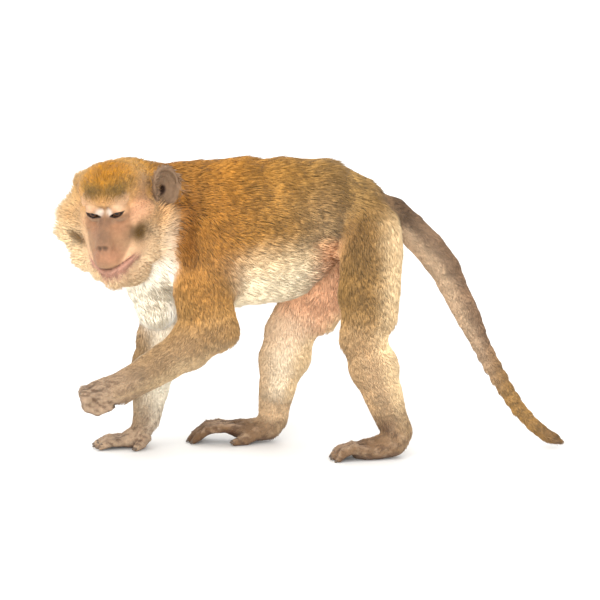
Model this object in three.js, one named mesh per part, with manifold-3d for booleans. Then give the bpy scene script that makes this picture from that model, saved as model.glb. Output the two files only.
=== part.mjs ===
// A life-size long-tailed macaque (Macaca fascicularis), walking on all fours with its left hand lifted and
// its face turned to its left. Units are millimetres and +Z is up. The animal walks towards -X, so its left
// side faces -Y, and the floor is at Z = 0. Every solid reaches out to the tips of the coat.
//
// The trunk, neck, head and limbs are one field of rounded masses that melt into each other. The field is
// meshed once, the skin that comes of it is parted into named pieces, and the hands, feet, tail, ears and
// eyes are lofted or turned on their own.

import * as THREE from "three";
import { mergeVertices } from "three/addons/utils/BufferGeometryUtils.js";
import Module from "manifold-3d";

const wasm = await Module();
wasm.setup();

// ---------------------------------------------------------------------------------------------------------
// Driving dimensions

const MIDDLE = [13.7, -4.7]; // centre of the whole animal's length and width, on the floor
const GAP = 0.4; // clear space between neighbouring pieces
const TRUNK_STEP = 26; // mesh cell on the trunk
const LIMB_STEP = 19.5; // mesh cell on the limbs
const HEAD_STEP = 13; // mesh cell on the head
const CUT_STEP = 25; // mesh cell of the surfaces that part the body
const CUT_DEPTH = 8; // how much further than midway a limb or the head reaches into the trunk
const CUT_REACH = 16; // how far a cutting surface stands out of the piece that it frees
const BLEND = 20; // how softly one mass melts into the next
const DIGIT_SIDES = 5;
const TAIL_SIDES = 10;

// Joint centres.
const SPINE = {
  withers: [-140, 0, 261],
  ribs: [-78, 0, 258],
  belly: [-36, 0, 259],
  loin: [-6, 0, 272],
  waist: [28, 0, 285],
  pelvis: [62, 0, 282],
  tailRoot: [92, 0, 273],
};
const LEFT_ARM = { shoulder: [-118, -36, 258], elbow: [-99, -56, 155], wrist: [-207, -53, 89] };
const RIGHT_ARM = { shoulder: [-146, 36, 236], elbow: [-160, 46, 128], wrist: [-176, 40, 33] };
const LEFT_LEG = { hip: [76, -34, 258], knee: [67, -50, 142], ankle: [104, -48, 34] };
const RIGHT_LEG = { hip: [62, 32, 248], knee: [-9, 50, 132], ankle: [-28, 48, 30] };

// The head has a frame of its own, with X out of the face, Y to its left and Z out of the crown. Its origin
// lies midway between the ear openings.
const HEAD_AT = [-202, -20, 304];
const HEAD_TURN = THREE.MathUtils.degToRad(67); // from straight ahead towards the animal's left
const HEAD_NOD = THREE.MathUtils.degToRad(24.5); // face down
const HEAD_TILT = THREE.MathUtils.degToRad(4.5); // left ear up

const headFrame = new THREE.Matrix4()
  .makeTranslation(...HEAD_AT)
  .multiply(new THREE.Matrix4().makeRotationZ(Math.PI + HEAD_TURN))
  .multiply(new THREE.Matrix4().makeRotationY(HEAD_NOD))
  .multiply(new THREE.Matrix4().makeRotationX(HEAD_TILT));

const EYE = { forward: 50, apart: 28.4, up: 11, radius: 9.6 };
// The left ear is pricked and the right one laid back. out and lean turn it from straight ahead, in degrees.
const EAR = { height: 46, width: 32, deep: 9, wall: 2.4 };
const EARS = {
  left: { sign: 1, at: [-5, 51, 6], out: 52, lean: 12 },
  right: { sign: -1, at: [-20, -45, -6], out: 80, lean: 4 },
};

// ---------------------------------------------------------------------------------------------------------
// Flesh: each mass runs from one point to another with a radius at each end. side squeezes it from side to
// side, and blend is how softly it melts into what it touches.

const mass = (from, to, radii, { side = 1, blend = BLEND } = {}) => ({ from, to, radii, side, blend });
const between = (a, b, share) => a.map((x, i) => x + (b[i] - x) * share);
const mirrored = ([x, y, z]) => [x, -y, z];
const bothSides = (m) => [m, { ...m, from: mirrored(m.from), to: mirrored(m.to) }];

const trunk = [
  mass(SPINE.withers, SPINE.ribs, [70, 81], { side: 0.72 }),
  mass(SPINE.ribs, SPINE.belly, [81, 79], { side: 0.72 }),
  mass(SPINE.belly, SPINE.loin, [79, 66], { side: 0.76 }),
  mass(SPINE.loin, SPINE.waist, [66, 49], { side: 0.9 }),
  mass(SPINE.waist, SPINE.pelvis, [49, 34], { side: 1.12 }),
  mass(SPINE.pelvis, SPINE.tailRoot, [34, 23], { side: 1.1 }),
];

const neck = [
  mass([-136, 0, 281], [-170, -6, 290], [58, 51], { side: 0.74 }),
  mass([-150, 0, 248], [-182, -10, 258], [46, 36], { side: 0.84 }),
  mass([-178, 6, 226], [-165, 16, 172], [36, 27], { side: 1.0 }), // brisket
];

// Shoulder to wrist, or hip to ankle: two bones, each with a fuller middle.
const limb = ({ root, middle, end }, upper, lower, { side, bulge }) => [
  mass(root, between(root, middle, 0.55), [upper[0], upper[1]], { side, blend: BLEND }),
  mass(between(root, middle, 0.55), middle, [upper[1], upper[2]], { side, blend: 8 }),
  mass(middle, between(middle, end, bulge), [upper[2], lower[0]], { side: (side + 1) / 2, blend: 8 }),
  mass(between(middle, end, bulge), end, [lower[0], lower[1]], { side: 1, blend: 8 }),
];
const armFlesh = ({ shoulder, elbow, wrist }, upper, lower) =>
  limb({ root: shoulder, middle: elbow, end: wrist }, upper, lower, { side: 0.8, bulge: 0.3 });
const legFlesh = ({ hip, knee, ankle }, upper, lower) =>
  limb({ root: hip, middle: knee, end: ankle }, upper, lower, { side: 0.8, bulge: 0.32 });

const limbs = {
  arm_left: [
    ...armFlesh(LEFT_ARM, [36, 27, 23], [25.5, 18.5]),
    mass([-122, -46, 200], [-124, -54, 152], [28, 20], { side: 0.8 }), // the fuller front of the upper arm
  ],
  arm_right: armFlesh(RIGHT_ARM, [36, 27, 25], [26, 17]),
  leg_left: [
    ...legFlesh(LEFT_LEG, [37, 32, 26], [28, 18]),
    mass([81, -40, 236], [82, -46, 172], [30, 26], { side: 0.8 }), // the fuller back of the thigh
  ],
  leg_right: [
    ...legFlesh(RIGHT_LEG, [36, 31, 25], [28, 17.5]),
    mass([54, 30, 206], [31, 38, 154], [32, 23], { side: 0.8 }), // the fuller back of the bent thigh
    mass([3, 44, 146], [-4, 49, 108], [22, 20], { side: 0.8 }), // and of its calf
  ],
};

// Masses of the head, in its own frame.
const skull = [
  mass([20, -2, 19], [-14, 0, 8], [35.5, 31], { side: 1.2, blend: 14 }), // braincase
  mass([49.5, -18, 23], [49.5, 18, 23], [9, 9], { blend: 9 }), // brow
  mass([36, 0, -10], [52, 0, -18], [26, 22], { side: 1.12, blend: 10 }), // face
  mass([56, 0, -22], [77, 0, -33], [19.5, 15.5], { side: 1.1, blend: 8 }), // muzzle
  mass([54, 0, 5], [82, 0, -16], [5.5, 6.5], { side: 1.15, blend: 11 }), // nose
  mass([76, 2, -54], [48, 5, -63], [15, 21.5], { side: 1.05, blend: 9 }), // chin and beard
  mass([40, 0, -44], [0, 0, -30], [22, 34], { side: 1.1, blend: 16 }), // throat
  ...bothSides(mass([48, 19, -30], [64, 13, -36], [15, 13], { blend: 10 })), // lips
  ...bothSides(mass([46, 24, -4], [26, 32, -4], [11.5, 14], { blend: 10 })), // cheekbone
  mass([30, 30, -30], [8, 40, -30], [20, 19], { blend: 16 }), // left ruff, pressed in by the shoulder
  mass([36, 28, -52], [12, 38, -50], [19, 19], { blend: 16 }),
  mass([32, -33, -28], [10, -52, -14], [22, 24], { blend: 16 }), // right ruff, fluffed out
  mass([38, -35, -50], [12, -58, -37], [21, 25], { blend: 16 }),
  mass([54, -18, -56], [38, -32, -54], [19, 20], { blend: 14 }),
  mass([8, -49, -12], [6, -37, 22], [22, 17], { blend: 14 }), // hair of the right temple
];

const inWorld = (p) => new THREE.Vector3(...p).applyMatrix4(headFrame).toArray();

// ---------------------------------------------------------------------------------------------------------
// The field: below zero inside the flesh, above zero outside.

const worldToHead = headFrame.clone().invert();

const massDistance = (m, x, y, z) => {
  const [ax, ay, az] = m.from;
  const bx = m.to[0] - ax;
  const by = m.to[1] - ay;
  const bz = m.to[2] - az;
  let t = ((x - ax) * bx + (y - ay) * by + (z - az) * bz) / (bx * bx + by * by + bz * bz);
  t = Math.min(1, Math.max(0, t));
  const dx = x - ax - t * bx;
  const dy = (y - ay - t * by) / m.side;
  const dz = z - az - t * bz;
  return Math.hypot(dx, dy, dz) - (m.radii[0] + (m.radii[1] - m.radii[0]) * t);
};

const melt = (a, b, blend) => {
  const near = Math.max(blend - Math.abs(a - b), 0) / blend;
  return Math.min(a, b) - (near * near * blend) / 4;
};

const fieldOf = (masses) => (x, y, z) =>
  masses.reduce((d, m) => melt(d, massDistance(m, x, y, z), m.blend), 1e3);

const point = new THREE.Vector3();
const skullField = fieldOf(skull);
const headField = (x, y, z) => {
  point.set(x, y, z).applyMatrix4(worldToHead);
  return skullField(point.x, point.y, point.z);
};

const coreField = fieldOf([...trunk, ...neck]);
const limbField = fieldOf(Object.values(limbs).flat());
const bodyField = (x, y, z) => melt(melt(coreField(x, y, z), limbField(x, y, z), 22), headField(x, y, z), 14);

// ---------------------------------------------------------------------------------------------------------
// Meshing: surface nets, with each vertex drawn onto the field's zero level.

function netOf(field, [low, high], step) {
  const count = low.map((v, i) => Math.ceil((high[i] - v) / step) + 1);
  const [nx, ny, nz] = count;
  const at = (i, j, k) => (k * ny + j) * nx + i;
  const values = new Float32Array(nx * ny * nz);
  for (let k = 0; k < nz; k++)
    for (let j = 0; j < ny; j++)
      for (let i = 0; i < nx; i++)
        values[at(i, j, k)] = field(low[0] + i * step, low[1] + j * step, low[2] + k * step);
  partCorners(values, count);

  const positions = [];
  const vertexOf = new Map();
  const corners = [0, 1, 2, 3, 4, 5, 6, 7].map((c) => [c & 1, (c >> 1) & 1, (c >> 2) & 1]);
  const edges = corners.flatMap((_, c) => [1, 2, 4].filter((bit) => !(c & bit)).map((bit) => [c, c | bit]));
  for (let k = 0; k < nz - 1; k++)
    for (let j = 0; j < ny - 1; j++)
      for (let i = 0; i < nx - 1; i++) {
        const v = corners.map(([a, b, c]) => values[at(i + a, j + b, k + c)]);
        const sum = [0, 0, 0];
        let crossings = 0;
        for (const [a, b] of edges)
          if (v[a] < 0 !== v[b] < 0) {
            const t = v[a] / (v[a] - v[b]);
            for (let n = 0; n < 3; n++) sum[n] += corners[a][n] + t * (corners[b][n] - corners[a][n]);
            crossings++;
          }
        if (!crossings) continue;
        vertexOf.set(at(i, j, k), positions.length / 3);
        const p = [i, j, k].map((cell, n) => low[n] + step * (cell + sum[n] / crossings));
        positions.push(...ontoSurface(field, p, step * 0.3));
      }

  const triangles = [];
  const quad = (a, b, c, d, turned) => {
    const q = [a, b, c, d].map((key) => vertexOf.get(key));
    const [p, r, s, t] = turned ? q.reverse() : q;
    triangles.push(p, r, s, p, s, t);
  };
  for (let k = 1; k < nz - 1; k++)
    for (let j = 1; j < ny - 1; j++)
      for (let i = 1; i < nx - 1; i++) {
        const inside = values[at(i, j, k)] < 0;
        if (inside !== values[at(i + 1, j, k)] < 0)
          quad(at(i, j - 1, k - 1), at(i, j, k - 1), at(i, j, k), at(i, j - 1, k), !inside);
        if (inside !== values[at(i, j + 1, k)] < 0)
          quad(at(i - 1, j, k - 1), at(i - 1, j, k), at(i, j, k), at(i, j, k - 1), !inside);
        if (inside !== values[at(i, j, k + 1)] < 0)
          quad(at(i - 1, j - 1, k), at(i, j - 1, k), at(i, j, k), at(i - 1, j, k), !inside);
      }
  return { positions, triangles };
}

// Where two corners of a cell's face are inside and the two between them are outside, four faces would share
// one edge of the mesh. The outer corner nearest the surface is taken in until no face is like that.
function partCorners(values, count) {
  const stride = [1, count[0], count[0] * count[1]];
  let changed = true;
  while (changed) {
    changed = false;
    for (const [m, n] of [[0, 1], [0, 2], [1, 2]])
      for (let start = 0; start + stride[m] + stride[n] < values.length; start++) {
        const face = [start, start + stride[m], start + stride[m] + stride[n], start + stride[n]];
        const inside = face.map((c) => values[c] < 0);
        if (inside[0] !== inside[2] || inside[1] !== inside[3] || inside[0] === inside[1]) continue;
        const nearest = face.filter((c) => values[c] >= 0).reduce((a, b) => (values[b] < values[a] ? b : a));
        values[nearest] = -1e-3;
        changed = true;
      }
  }
}

function ontoSurface(field, p, most) {
  const e = 0.5;
  const d = field(...p);
  const g = [
    field(p[0] + e, p[1], p[2]) - field(p[0] - e, p[1], p[2]),
    field(p[0], p[1] + e, p[2]) - field(p[0], p[1] - e, p[2]),
    field(p[0], p[1], p[2] + e) - field(p[0], p[1], p[2] - e),
  ].map((x) => x / (2 * e));
  const steep = g[0] * g[0] + g[1] * g[1] + g[2] * g[2];
  const along = Math.min(most, Math.max(-most, d / Math.sqrt(steep))) / Math.sqrt(steep);
  return p.map((x, i) => x - g[i] * along);
}

// ---------------------------------------------------------------------------------------------------------
// Solids

const solidOf = ({ positions, triangles }) =>
  new wasm.Manifold(
    new wasm.Mesh({
      numProp: 3,
      vertProperties: new Float32Array(positions),
      triVerts: new Uint32Array(triangles),
    }),
  );

function solidOfGeometry(geometry, matrix = new THREE.Matrix4()) {
  const bare = geometry.clone().applyMatrix4(matrix);
  for (const name of ["normal", "uv"]) bare.deleteAttribute(name);
  const merged = mergeVertices(bare, 1e-3);
  const triangles = [...merged.index.array];
  if (matrix.determinant() < 0) triangles.reverse(); // a mirrored shape turns its faces back out
  return solidOf({ positions: merged.attributes.position.array, triangles });
}

function geometryOf(solid) {
  const mesh = solid.getMesh();
  const flat = new Float32Array(mesh.numVert * 3);
  for (let i = 0; i < mesh.numVert; i++)
    flat.set(mesh.vertProperties.subarray(i * mesh.numProp, i * mesh.numProp + 3), i * 3);
  const geometry = new THREE.BufferGeometry();
  geometry.setAttribute("position", new THREE.BufferAttribute(flat, 3));
  geometry.setIndex(new THREE.BufferAttribute(mesh.triVerts, 1));
  geometry.computeVertexNormals();
  return geometry;
}

// The same net with its vertices moved out along their normals.
function grown({ positions, triangles }, by) {
  const geometry = new THREE.BufferGeometry();
  geometry.setAttribute("position", new THREE.BufferAttribute(new Float32Array(positions), 3));
  geometry.setIndex(triangles);
  geometry.computeVertexNormals();
  const normal = geometry.attributes.normal.array;
  return { positions: positions.map((x, i) => x + normal[i] * by), triangles };
}

// A closed loft of rings along a smooth curve. Each stop gives a point and the ring's half width and height,
// and rings is how many rings are drawn between the first stop and the last.
function loft(stops, { sides, rings }) {
  const curve = new THREE.CatmullRomCurve3(stops.map((s) => new THREE.Vector3(...s.at)));
  const across = new THREE.Vector3(0, 1, 0);
  const positions = [];
  const triangles = [];
  for (let ring = 0; ring <= rings; ring++) {
    const t = ring / rings;
    const where = t * (stops.length - 1);
    const first = stops[Math.min(Math.floor(where), stops.length - 2)];
    const next = stops[stops.indexOf(first) + 1];
    const share = where - stops.indexOf(first);
    const halfWidth = first.width + (next.width - first.width) * share;
    const halfHeight = first.height + (next.height - first.height) * share;
    const centre = curve.getPoint(t);
    const up = new THREE.Vector3().crossVectors(curve.getTangent(t), across).normalize();
    const out = new THREE.Vector3().crossVectors(up, curve.getTangent(t)).normalize();
    for (let s = 0; s < sides; s++) {
      const turn = (2 * Math.PI * s) / sides;
      positions.push(
        ...centre
          .clone()
          .addScaledVector(out, halfWidth * Math.cos(turn))
          .addScaledVector(up, halfHeight * Math.sin(turn))
          .toArray(),
      );
    }
  }
  const ends = [curve.getPoint(0), curve.getPoint(1)].map((end, which) => {
    const stop = which ? stops.at(-1) : stops[0];
    const bulge = Math.min(stop.width, stop.height) * 0.8;
    const dome = curve.getTangent(which).multiplyScalar(which ? bulge : -bulge);
    positions.push(...end.add(dome).toArray());
    return positions.length / 3 - 1;
  });
  for (let s = 0; s < sides; s++) {
    const n = (s + 1) % sides;
    for (let ring = 0; ring < rings; ring++) {
      const a = ring * sides;
      const b = a + sides;
      triangles.push(a + s, b + n, b + s, a + s, a + n, b + n);
    }
    triangles.push(ends[0], n, s, ends[1], rings * sides + s, rings * sides + n);
  }
  const made = solidOf({ positions, triangles });
  return made.volume() < 0 ? solidOf({ positions, triangles: [...triangles].reverse() }) : made;
}

// Both sides of a plane through `at`, half a gap clear of it: [the side that normal points to, the other].
function partedAt(solid, at, direction) {
  const normal = new THREE.Vector3(...direction).normalize();
  const offset = normal.dot(new THREE.Vector3(...at));
  return [
    solid.trimByPlane(normal.toArray(), offset + GAP / 2),
    solid.trimByPlane(normal.clone().negate().toArray(), -offset + GAP / 2),
  ];
}

const onFloor = (solid) => solid.trimByPlane([0, 0, 1], 0);
const largest = (solid) => solid.decompose().sort((a, b) => b.volume() - a.volume())[0];

// ---------------------------------------------------------------------------------------------------------
// The body, parted along the surfaces that lie midway between one group of masses and the next

const BODY_BOX = [[-330, -150, -40], [170, 120, 390]];
const boxRound = (masses, margin, place = (p) => p) => {
  const ends = masses.flatMap((m) => [m.from, m.to]).map(place);
  const reach = Math.max(...masses.flatMap((m) => m.radii)) + margin;
  return [0, 1].map((side) =>
    [0, 1, 2].map((n) => (side ? Math.max : Math.min)(...ends.map((p) => p[n])) + (side ? reach : -reach)),
  );
};

const cutterOf = (own, others, box) =>
  netOf((x, y, z) => {
    const d = own(x, y, z);
    return Math.max(d - others(x, y, z) - CUT_DEPTH, d - CUT_REACH);
  }, box, CUT_STEP);

const pieces = new Map();
const bodyNet = netOf(bodyField, BODY_BOX, TRUNK_STEP);

const headBox = boxRound(skull, CUT_REACH + 26, inWorld);
const headCutter = cutterOf(headField, coreField, headBox);
const netAround = (own, box, step) =>
  netOf((x, y, z) => Math.max(bodyField(x, y, z), own(x, y, z) - CUT_REACH - 4), box, step);
const headNet = netAround(headField, headBox, HEAD_STEP);
let head = largest(solidOf(headNet).intersect(solidOf(headCutter)));
let parted = solidOf(grown(headCutter, GAP)); // all that belongs to pieces already freed
let flesh = solidOf(grown(headNet, GAP)).add(solidOf(grown(bodyNet, GAP)));

for (const [name, masses] of Object.entries(limbs)) {
  const own = fieldOf(masses);
  const box = boxRound(masses, CUT_REACH + 26);
  const cutter = cutterOf(own, coreField, box);
  const net = netAround(own, box, LIMB_STEP);
  pieces.set(name, largest(solidOf(net).intersect(solidOf(cutter)).subtract(parted)));
  parted = parted.add(solidOf(grown(cutter, GAP)));
  flesh = flesh.add(solidOf(grown(net, GAP)));
}
const body = largest(solidOf(bodyNet).subtract(parted));

// The trunk in three lengths and a neck.
const [chestOn, rear] = partedAt(body, [-52, 0, 258], [-1, 0, 0.1]);
const [abdomen, pelvis] = partedAt(rear, [14, 0, 278], [-1, 0, -0.15]);
const [neckPiece, chest] = partedAt(chestOn, [-158, 0, 270], [-1, -0.1, 0.35]);
pieces.set("neck", largest(neckPiece));
pieces.set("chest", largest(chest));
pieces.set("abdomen", largest(abdomen));
pieces.set("pelvis", largest(pelvis));

// Each limb is parted at its elbow or knee, and ends where its hand or foot begins.
const awayFrom = (a, b) => b.map((x, i) => x - a[i]);
function partLimb(name, { root, middle, end }, [upperName, lowerName, endName], extremity) {
  const along = awayFrom(root, middle).map((x, i) => x + awayFrom(middle, end)[i]);
  const [lower, upper] = partedAt(pieces.get(name), middle, along);
  const cuff = between(end, middle, 0.06);
  const [, shaft] = partedAt(lower, cuff, awayFrom(middle, end));
  const [tip] = partedAt(onFloor(extremity), cuff, awayFrom(middle, end));
  pieces.delete(name);
  pieces.set(upperName, largest(upper));
  pieces.set(lowerName, largest(shaft));
  pieces.set(endName, largest(tip));
}

// ---------------------------------------------------------------------------------------------------------
// Hands and feet: a palm or sole and five digits. A digit is a chain of stops with a point and a radius each.

const digit = (points, radii) =>
  loft(
    points.map((at, i) => ({ at, width: radii[i], height: radii[i] })),
    { sides: DIGIT_SIDES, rings: points.length - 1 },
  );
const joined = (solids) => solids.reduce((a, b) => a.add(b));

// The left hand hangs as a loose fist, its fingers folded back under the palm.
const fist = joined([
  loft(
    [
      { at: [-190, -53, 100], width: 17, height: 18 },
      { at: [-210, -53, 89], width: 16, height: 17 },
      { at: [-228, -52, 84], width: 16.5, height: 15 },
      { at: [-244, -51, 82], width: 16, height: 11 },
    ],
    { sides: 8, rings: 4 },
  ),
  ...[-13, -4.5, 4.5, 13].map((side, i) =>
    digit(
      [
        [-234, -52 + side * 0.9, 87],
        [-251 + Math.abs(i - 1.4) * 1.2, -52 + side, 84],
        [-248 + Math.abs(i - 1.4) * 1.2, -52 + side, 70],
        [-236, -52 + side * 0.95, 65.5],
        [-222, -52 + side * 0.85, 69],
      ],
      [6, 6.4, 6, 5.6, 4.6],
    ),
  ),
  digit([[-214, -40, 84], [-226, -36, 76], [-234, -39, 70]], [6, 5.4, 4.4]),
]);

// The right hand is planted on its palm with the fingers stretched ahead.
const palm = joined([
  loft(
    [
      { at: [-171, 41, 46], width: 14.5, height: 14.5 },
      { at: [-177, 40, 28], width: 14, height: 12.5 },
      { at: [-186, 39, 12], width: 15, height: 12 },
      { at: [-203, 38, 7.5], width: 16, height: 8 },
    ],
    { sides: 8, rings: 4 },
  ),
  ...[-12, -4.2, 4.2, 12].map((side, i) =>
    digit(
      [
        [-196, 38 + side * 0.8, 8.5],
        [-211 + Math.abs(i - 1.5) * 2, 38 + side * 1.05, 8.5],
        [-224 + Math.abs(i - 1.5) * 3, 38 + side * 1.25, 8],
        [-236 + Math.abs(i - 1.5) * 4, 38 + side * 1.35, 3.2],
      ],
      [5.8, 5.4, 4.8, 4.2],
    ),
  ),
  digit([[-177, 28, 12], [-183, 20, 7], [-189, 15, 3.2]], [6.4, 5.6, 4.6]),
]);

// The left foot has just pushed the body on: its heel is off the floor and its toes are arched.
const leftFoot = joined([
  loft(
    [
      { at: [100, -48, 48], width: 17, height: 18 },
      { at: [108, -48, 30], width: 16, height: 16 },
      { at: [102, -48, 17], width: 15, height: 15 },
      { at: [82, -48, 11], width: 17, height: 12 },
      { at: [62, -48, 9], width: 19, height: 10 },
    ],
    { sides: 8, rings: 5 },
  ),
  ...[-14, -5, 4, 12].map((side, i) =>
    digit(
      [
        [70, -49 + side * 0.9, 10],
        [56, -49 + side * 1.05, 14.5 - i],
        [44 - i * 0.5, -49 + side * 1.15, 11 - i],
        [33 + Math.abs(i - 1.5) * 3, -49 + side * 1.2, 3.4],
      ],
      [6.4, 6.4, 5.6, 4.6],
    ),
  ),
  digit([[90, -38, 10], [74, -28, 7], [60, -23, 4]], [7.4, 6.6, 5]),
]);

// The right foot is set down ahead, on its great toe and the tips of the others.
const rightFoot = joined([
  loft(
    [
      { at: [-23, 48, 46], width: 15.5, height: 16 },
      { at: [-25, 48, 28], width: 15, height: 15 },
      { at: [-33, 48, 17], width: 15, height: 14 },
      { at: [-54, 49, 14], width: 17, height: 12 },
      { at: [-76, 52, 17], width: 18, height: 9 },
    ],
    { sides: 8, rings: 5 },
  ),
  ...[-12, -4, 5, 13].map((side, i) =>
    digit(
      [
        [-68, 51 + side * 0.9, 17],
        [-90, 54 + side * 1.05, 19],
        [-106 + Math.abs(i - 1.2) * 2, 56 + side * 1.15, 17],
        [-118 + Math.abs(i - 1.2) * 3, 58 + side * 1.2, 9],
        [-125 + Math.abs(i - 1.2) * 4, 58 + side * 1.2, 3.2],
      ],
      [6.2, 5.8, 5.6, 5, 4.2],
    ),
  ),
  digit([[-46, 38, 12], [-60, 33, 6.5], [-73, 29, 3.8]], [7.4, 6.6, 5]),
]);

partLimb("arm_left", { root: LEFT_ARM.shoulder, middle: LEFT_ARM.elbow, end: LEFT_ARM.wrist },
  ["upper_arm_left", "forearm_left", "hand_left"], fist);
partLimb("arm_right", { root: RIGHT_ARM.shoulder, middle: RIGHT_ARM.elbow, end: RIGHT_ARM.wrist },
  ["upper_arm_right", "forearm_right", "hand_right"], palm);
partLimb("leg_left", { root: LEFT_LEG.hip, middle: LEFT_LEG.knee, end: LEFT_LEG.ankle },
  ["thigh_left", "shank_left", "foot_left"], leftFoot);
partLimb("leg_right", { root: RIGHT_LEG.hip, middle: RIGHT_LEG.knee, end: RIGHT_LEG.ankle },
  ["thigh_right", "shank_right", "foot_right"], rightFoot);

// ---------------------------------------------------------------------------------------------------------
// The tail, in four lengths

const TAIL = [
  { at: [84, 0, 284], r: 21 },
  { at: [106, 0, 277], r: 19.5 },
  { at: [127, -0.5, 258.5], r: 19 },
  { at: [148, -1.5, 237], r: 18 },
  { at: [167, -3, 212], r: 17.5 },
  { at: [182, -4, 181], r: 15.2 },
  { at: [195, -6, 155], r: 14.2 },
  { at: [208, -8, 126], r: 11 },
  { at: [222, -10, 99], r: 10.4 },
  { at: [238, -12, 71], r: 9.4 },
  { at: [253, -14, 47.5], r: 8.6 },
  { at: [269, -17, 30], r: 8 },
  { at: [284, -19, 17], r: 7.4 },
  { at: [299, -21, 9.6], r: 6.2 },
];
const wholeTail = loft(
  TAIL.map(({ at, r }) => ({ at, width: r * 0.95, height: r })),
  { sides: TAIL_SIDES, rings: 18 },
);

const TAIL_CUTS = [4, 7, 10]; // stops where one length ends and the next begins
let rest = largest(wholeTail.subtract(flesh));
TAIL_CUTS.forEach((stop, i) => {
  const [beyond, before] = partedAt(rest, TAIL[stop].at, awayFrom(TAIL[stop - 1].at, TAIL[stop + 1].at));
  pieces.set(`tail_${i + 1}`, largest(before));
  rest = beyond;
});
pieces.set("tail_4", largest(rest));

// ---------------------------------------------------------------------------------------------------------
// Eyes in their sockets, and ears

const place = (at) => headFrame.clone().multiply(new THREE.Matrix4().makeTranslation(...at));
for (const [side, sign] of [["left", 1], ["right", -1]]) {
  const at = place([EYE.forward, (sign * EYE.apart) / 2, EYE.up]);
  const ball = new THREE.SphereGeometry(EYE.radius, 10, 7).rotateZ(Math.PI / 2);
  const socket = new THREE.SphereGeometry(EYE.radius + GAP, 10, 7).rotateZ(Math.PI / 2);
  pieces.set(`eye_${side}`, solidOfGeometry(ball, at));
  head = head.subtract(solidOfGeometry(socket, at));
}
head = largest(head);

// An ear is a dish, deepest above its opening, with a slight point at the top of its rim.
function earSolid() {
  const { height, width, deep, wall } = EAR;
  const profile = [
    [0, -deep],
    [0.45, -deep * 0.9],
    [0.85, -deep * 0.35],
    [1.0, 0.6],
    [0.96, wall],
    [0.8, wall * 0.6],
    [0.55, -deep * 0.35 + wall * 0.4],
    [0, -deep + wall * 1.6],
  ].map(([r, z]) => new THREE.Vector2(r, z));
  const dish = new THREE.LatheGeometry(profile, 13).rotateX(Math.PI / 2);
  const p = dish.attributes.position;
  for (let i = 0; i < p.count; i++) {
    const x = p.getX(i);
    const y = p.getY(i);
    const round = Math.atan2(y, x);
    const point = 1 + 0.14 * Math.max(0, Math.cos(round - 2.0)) ** 6;
    const lobe = 1 - 0.14 * Math.max(0, -Math.sin(round));
    p.setXY(i, ((x * width) / 2) * point * lobe, ((y * height) / 2) * point);
  }
  return dish;
}
for (const [side, { sign, at, out, lean }] of Object.entries(EARS)) {
  const facing = new THREE.Matrix4()
    .makeRotationZ(THREE.MathUtils.degToRad(sign * out))
    .multiply(new THREE.Matrix4().makeRotationX(THREE.MathUtils.degToRad(-sign * lean)))
    .multiply(new THREE.Matrix4().makeBasis(
      new THREE.Vector3(0, sign, 0),
      new THREE.Vector3(0, 0, 1),
      new THREE.Vector3(1, 0, 0),
    ));
  const frame = place(at).multiply(facing);
  // The hair stands clear of the ear's opening.
  const hollow = new THREE.SphereGeometry(1, 10, 6).scale(EAR.width * 0.56, EAR.height * 0.54, 17);
  const clearing = solidOfGeometry(hollow.translate(0, 0, 8), frame);
  head = largest(head.subtract(clearing));
  pieces.set("neck", largest(pieces.get("neck").subtract(clearing)));
  const ear = solidOfGeometry(earSolid(), frame).subtract(flesh.subtract(clearing));
  pieces.set(`ear_${side}`, largest(ear));
}
pieces.set("head", head);

// ---------------------------------------------------------------------------------------------------------
// The finished group

const COAT = { brown: 0xa9772f, grey: 0x9c8360, face: 0xc79070, eye: 0x2e1c0e, dark: 0x7d6146 };
const LOOKS = [
  [/^eye/, COAT.eye, 0.1],
  [/^(hand|foot|ear)/, COAT.dark, 0.7],
  [/^(forearm|shank|tail)/, COAT.grey, 0.9],
  [/^head/, COAT.face, 0.8],
  [/./, COAT.brown, 0.9],
];
const macaque = new THREE.Group();
for (const [name, solid] of pieces) {
  const [, color, roughness] = LOOKS.find(([pattern]) => pattern.test(name));
  const mesh = new THREE.Mesh(geometryOf(solid), new THREE.MeshStandardMaterial({ color, roughness }));
  mesh.name = name;
  macaque.add(mesh);
}

// The group's origin lies on the floor, under the middle of the whole animal.
for (const mesh of macaque.children) mesh.geometry.translate(-MIDDLE[0], -MIDDLE[1], 0);

export default macaque;
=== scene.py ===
import math

import bpy
import numpy as np
from mathutils import Matrix, Vector


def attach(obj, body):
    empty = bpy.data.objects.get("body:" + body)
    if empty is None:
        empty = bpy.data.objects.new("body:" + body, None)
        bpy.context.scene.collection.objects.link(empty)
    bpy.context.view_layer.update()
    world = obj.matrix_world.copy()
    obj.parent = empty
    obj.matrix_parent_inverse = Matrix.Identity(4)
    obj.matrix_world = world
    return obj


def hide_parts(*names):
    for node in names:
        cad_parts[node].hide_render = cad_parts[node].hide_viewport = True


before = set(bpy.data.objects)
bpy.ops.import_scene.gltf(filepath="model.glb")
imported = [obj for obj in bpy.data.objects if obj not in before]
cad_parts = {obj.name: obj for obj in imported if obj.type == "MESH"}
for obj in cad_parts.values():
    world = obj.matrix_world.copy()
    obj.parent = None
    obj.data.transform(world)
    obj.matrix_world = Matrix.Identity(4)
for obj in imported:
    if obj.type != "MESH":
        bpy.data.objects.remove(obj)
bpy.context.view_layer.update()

# ---------------------------------------------------------------------------------------------------------
# Camera, floor and lamps. A long lens stands 3.2 m off, a little above and ahead of the animal's left side.
# The floor is one pale sheet that runs out of view, and large soft lamps light it evenly.

MM = 0.001
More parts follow.
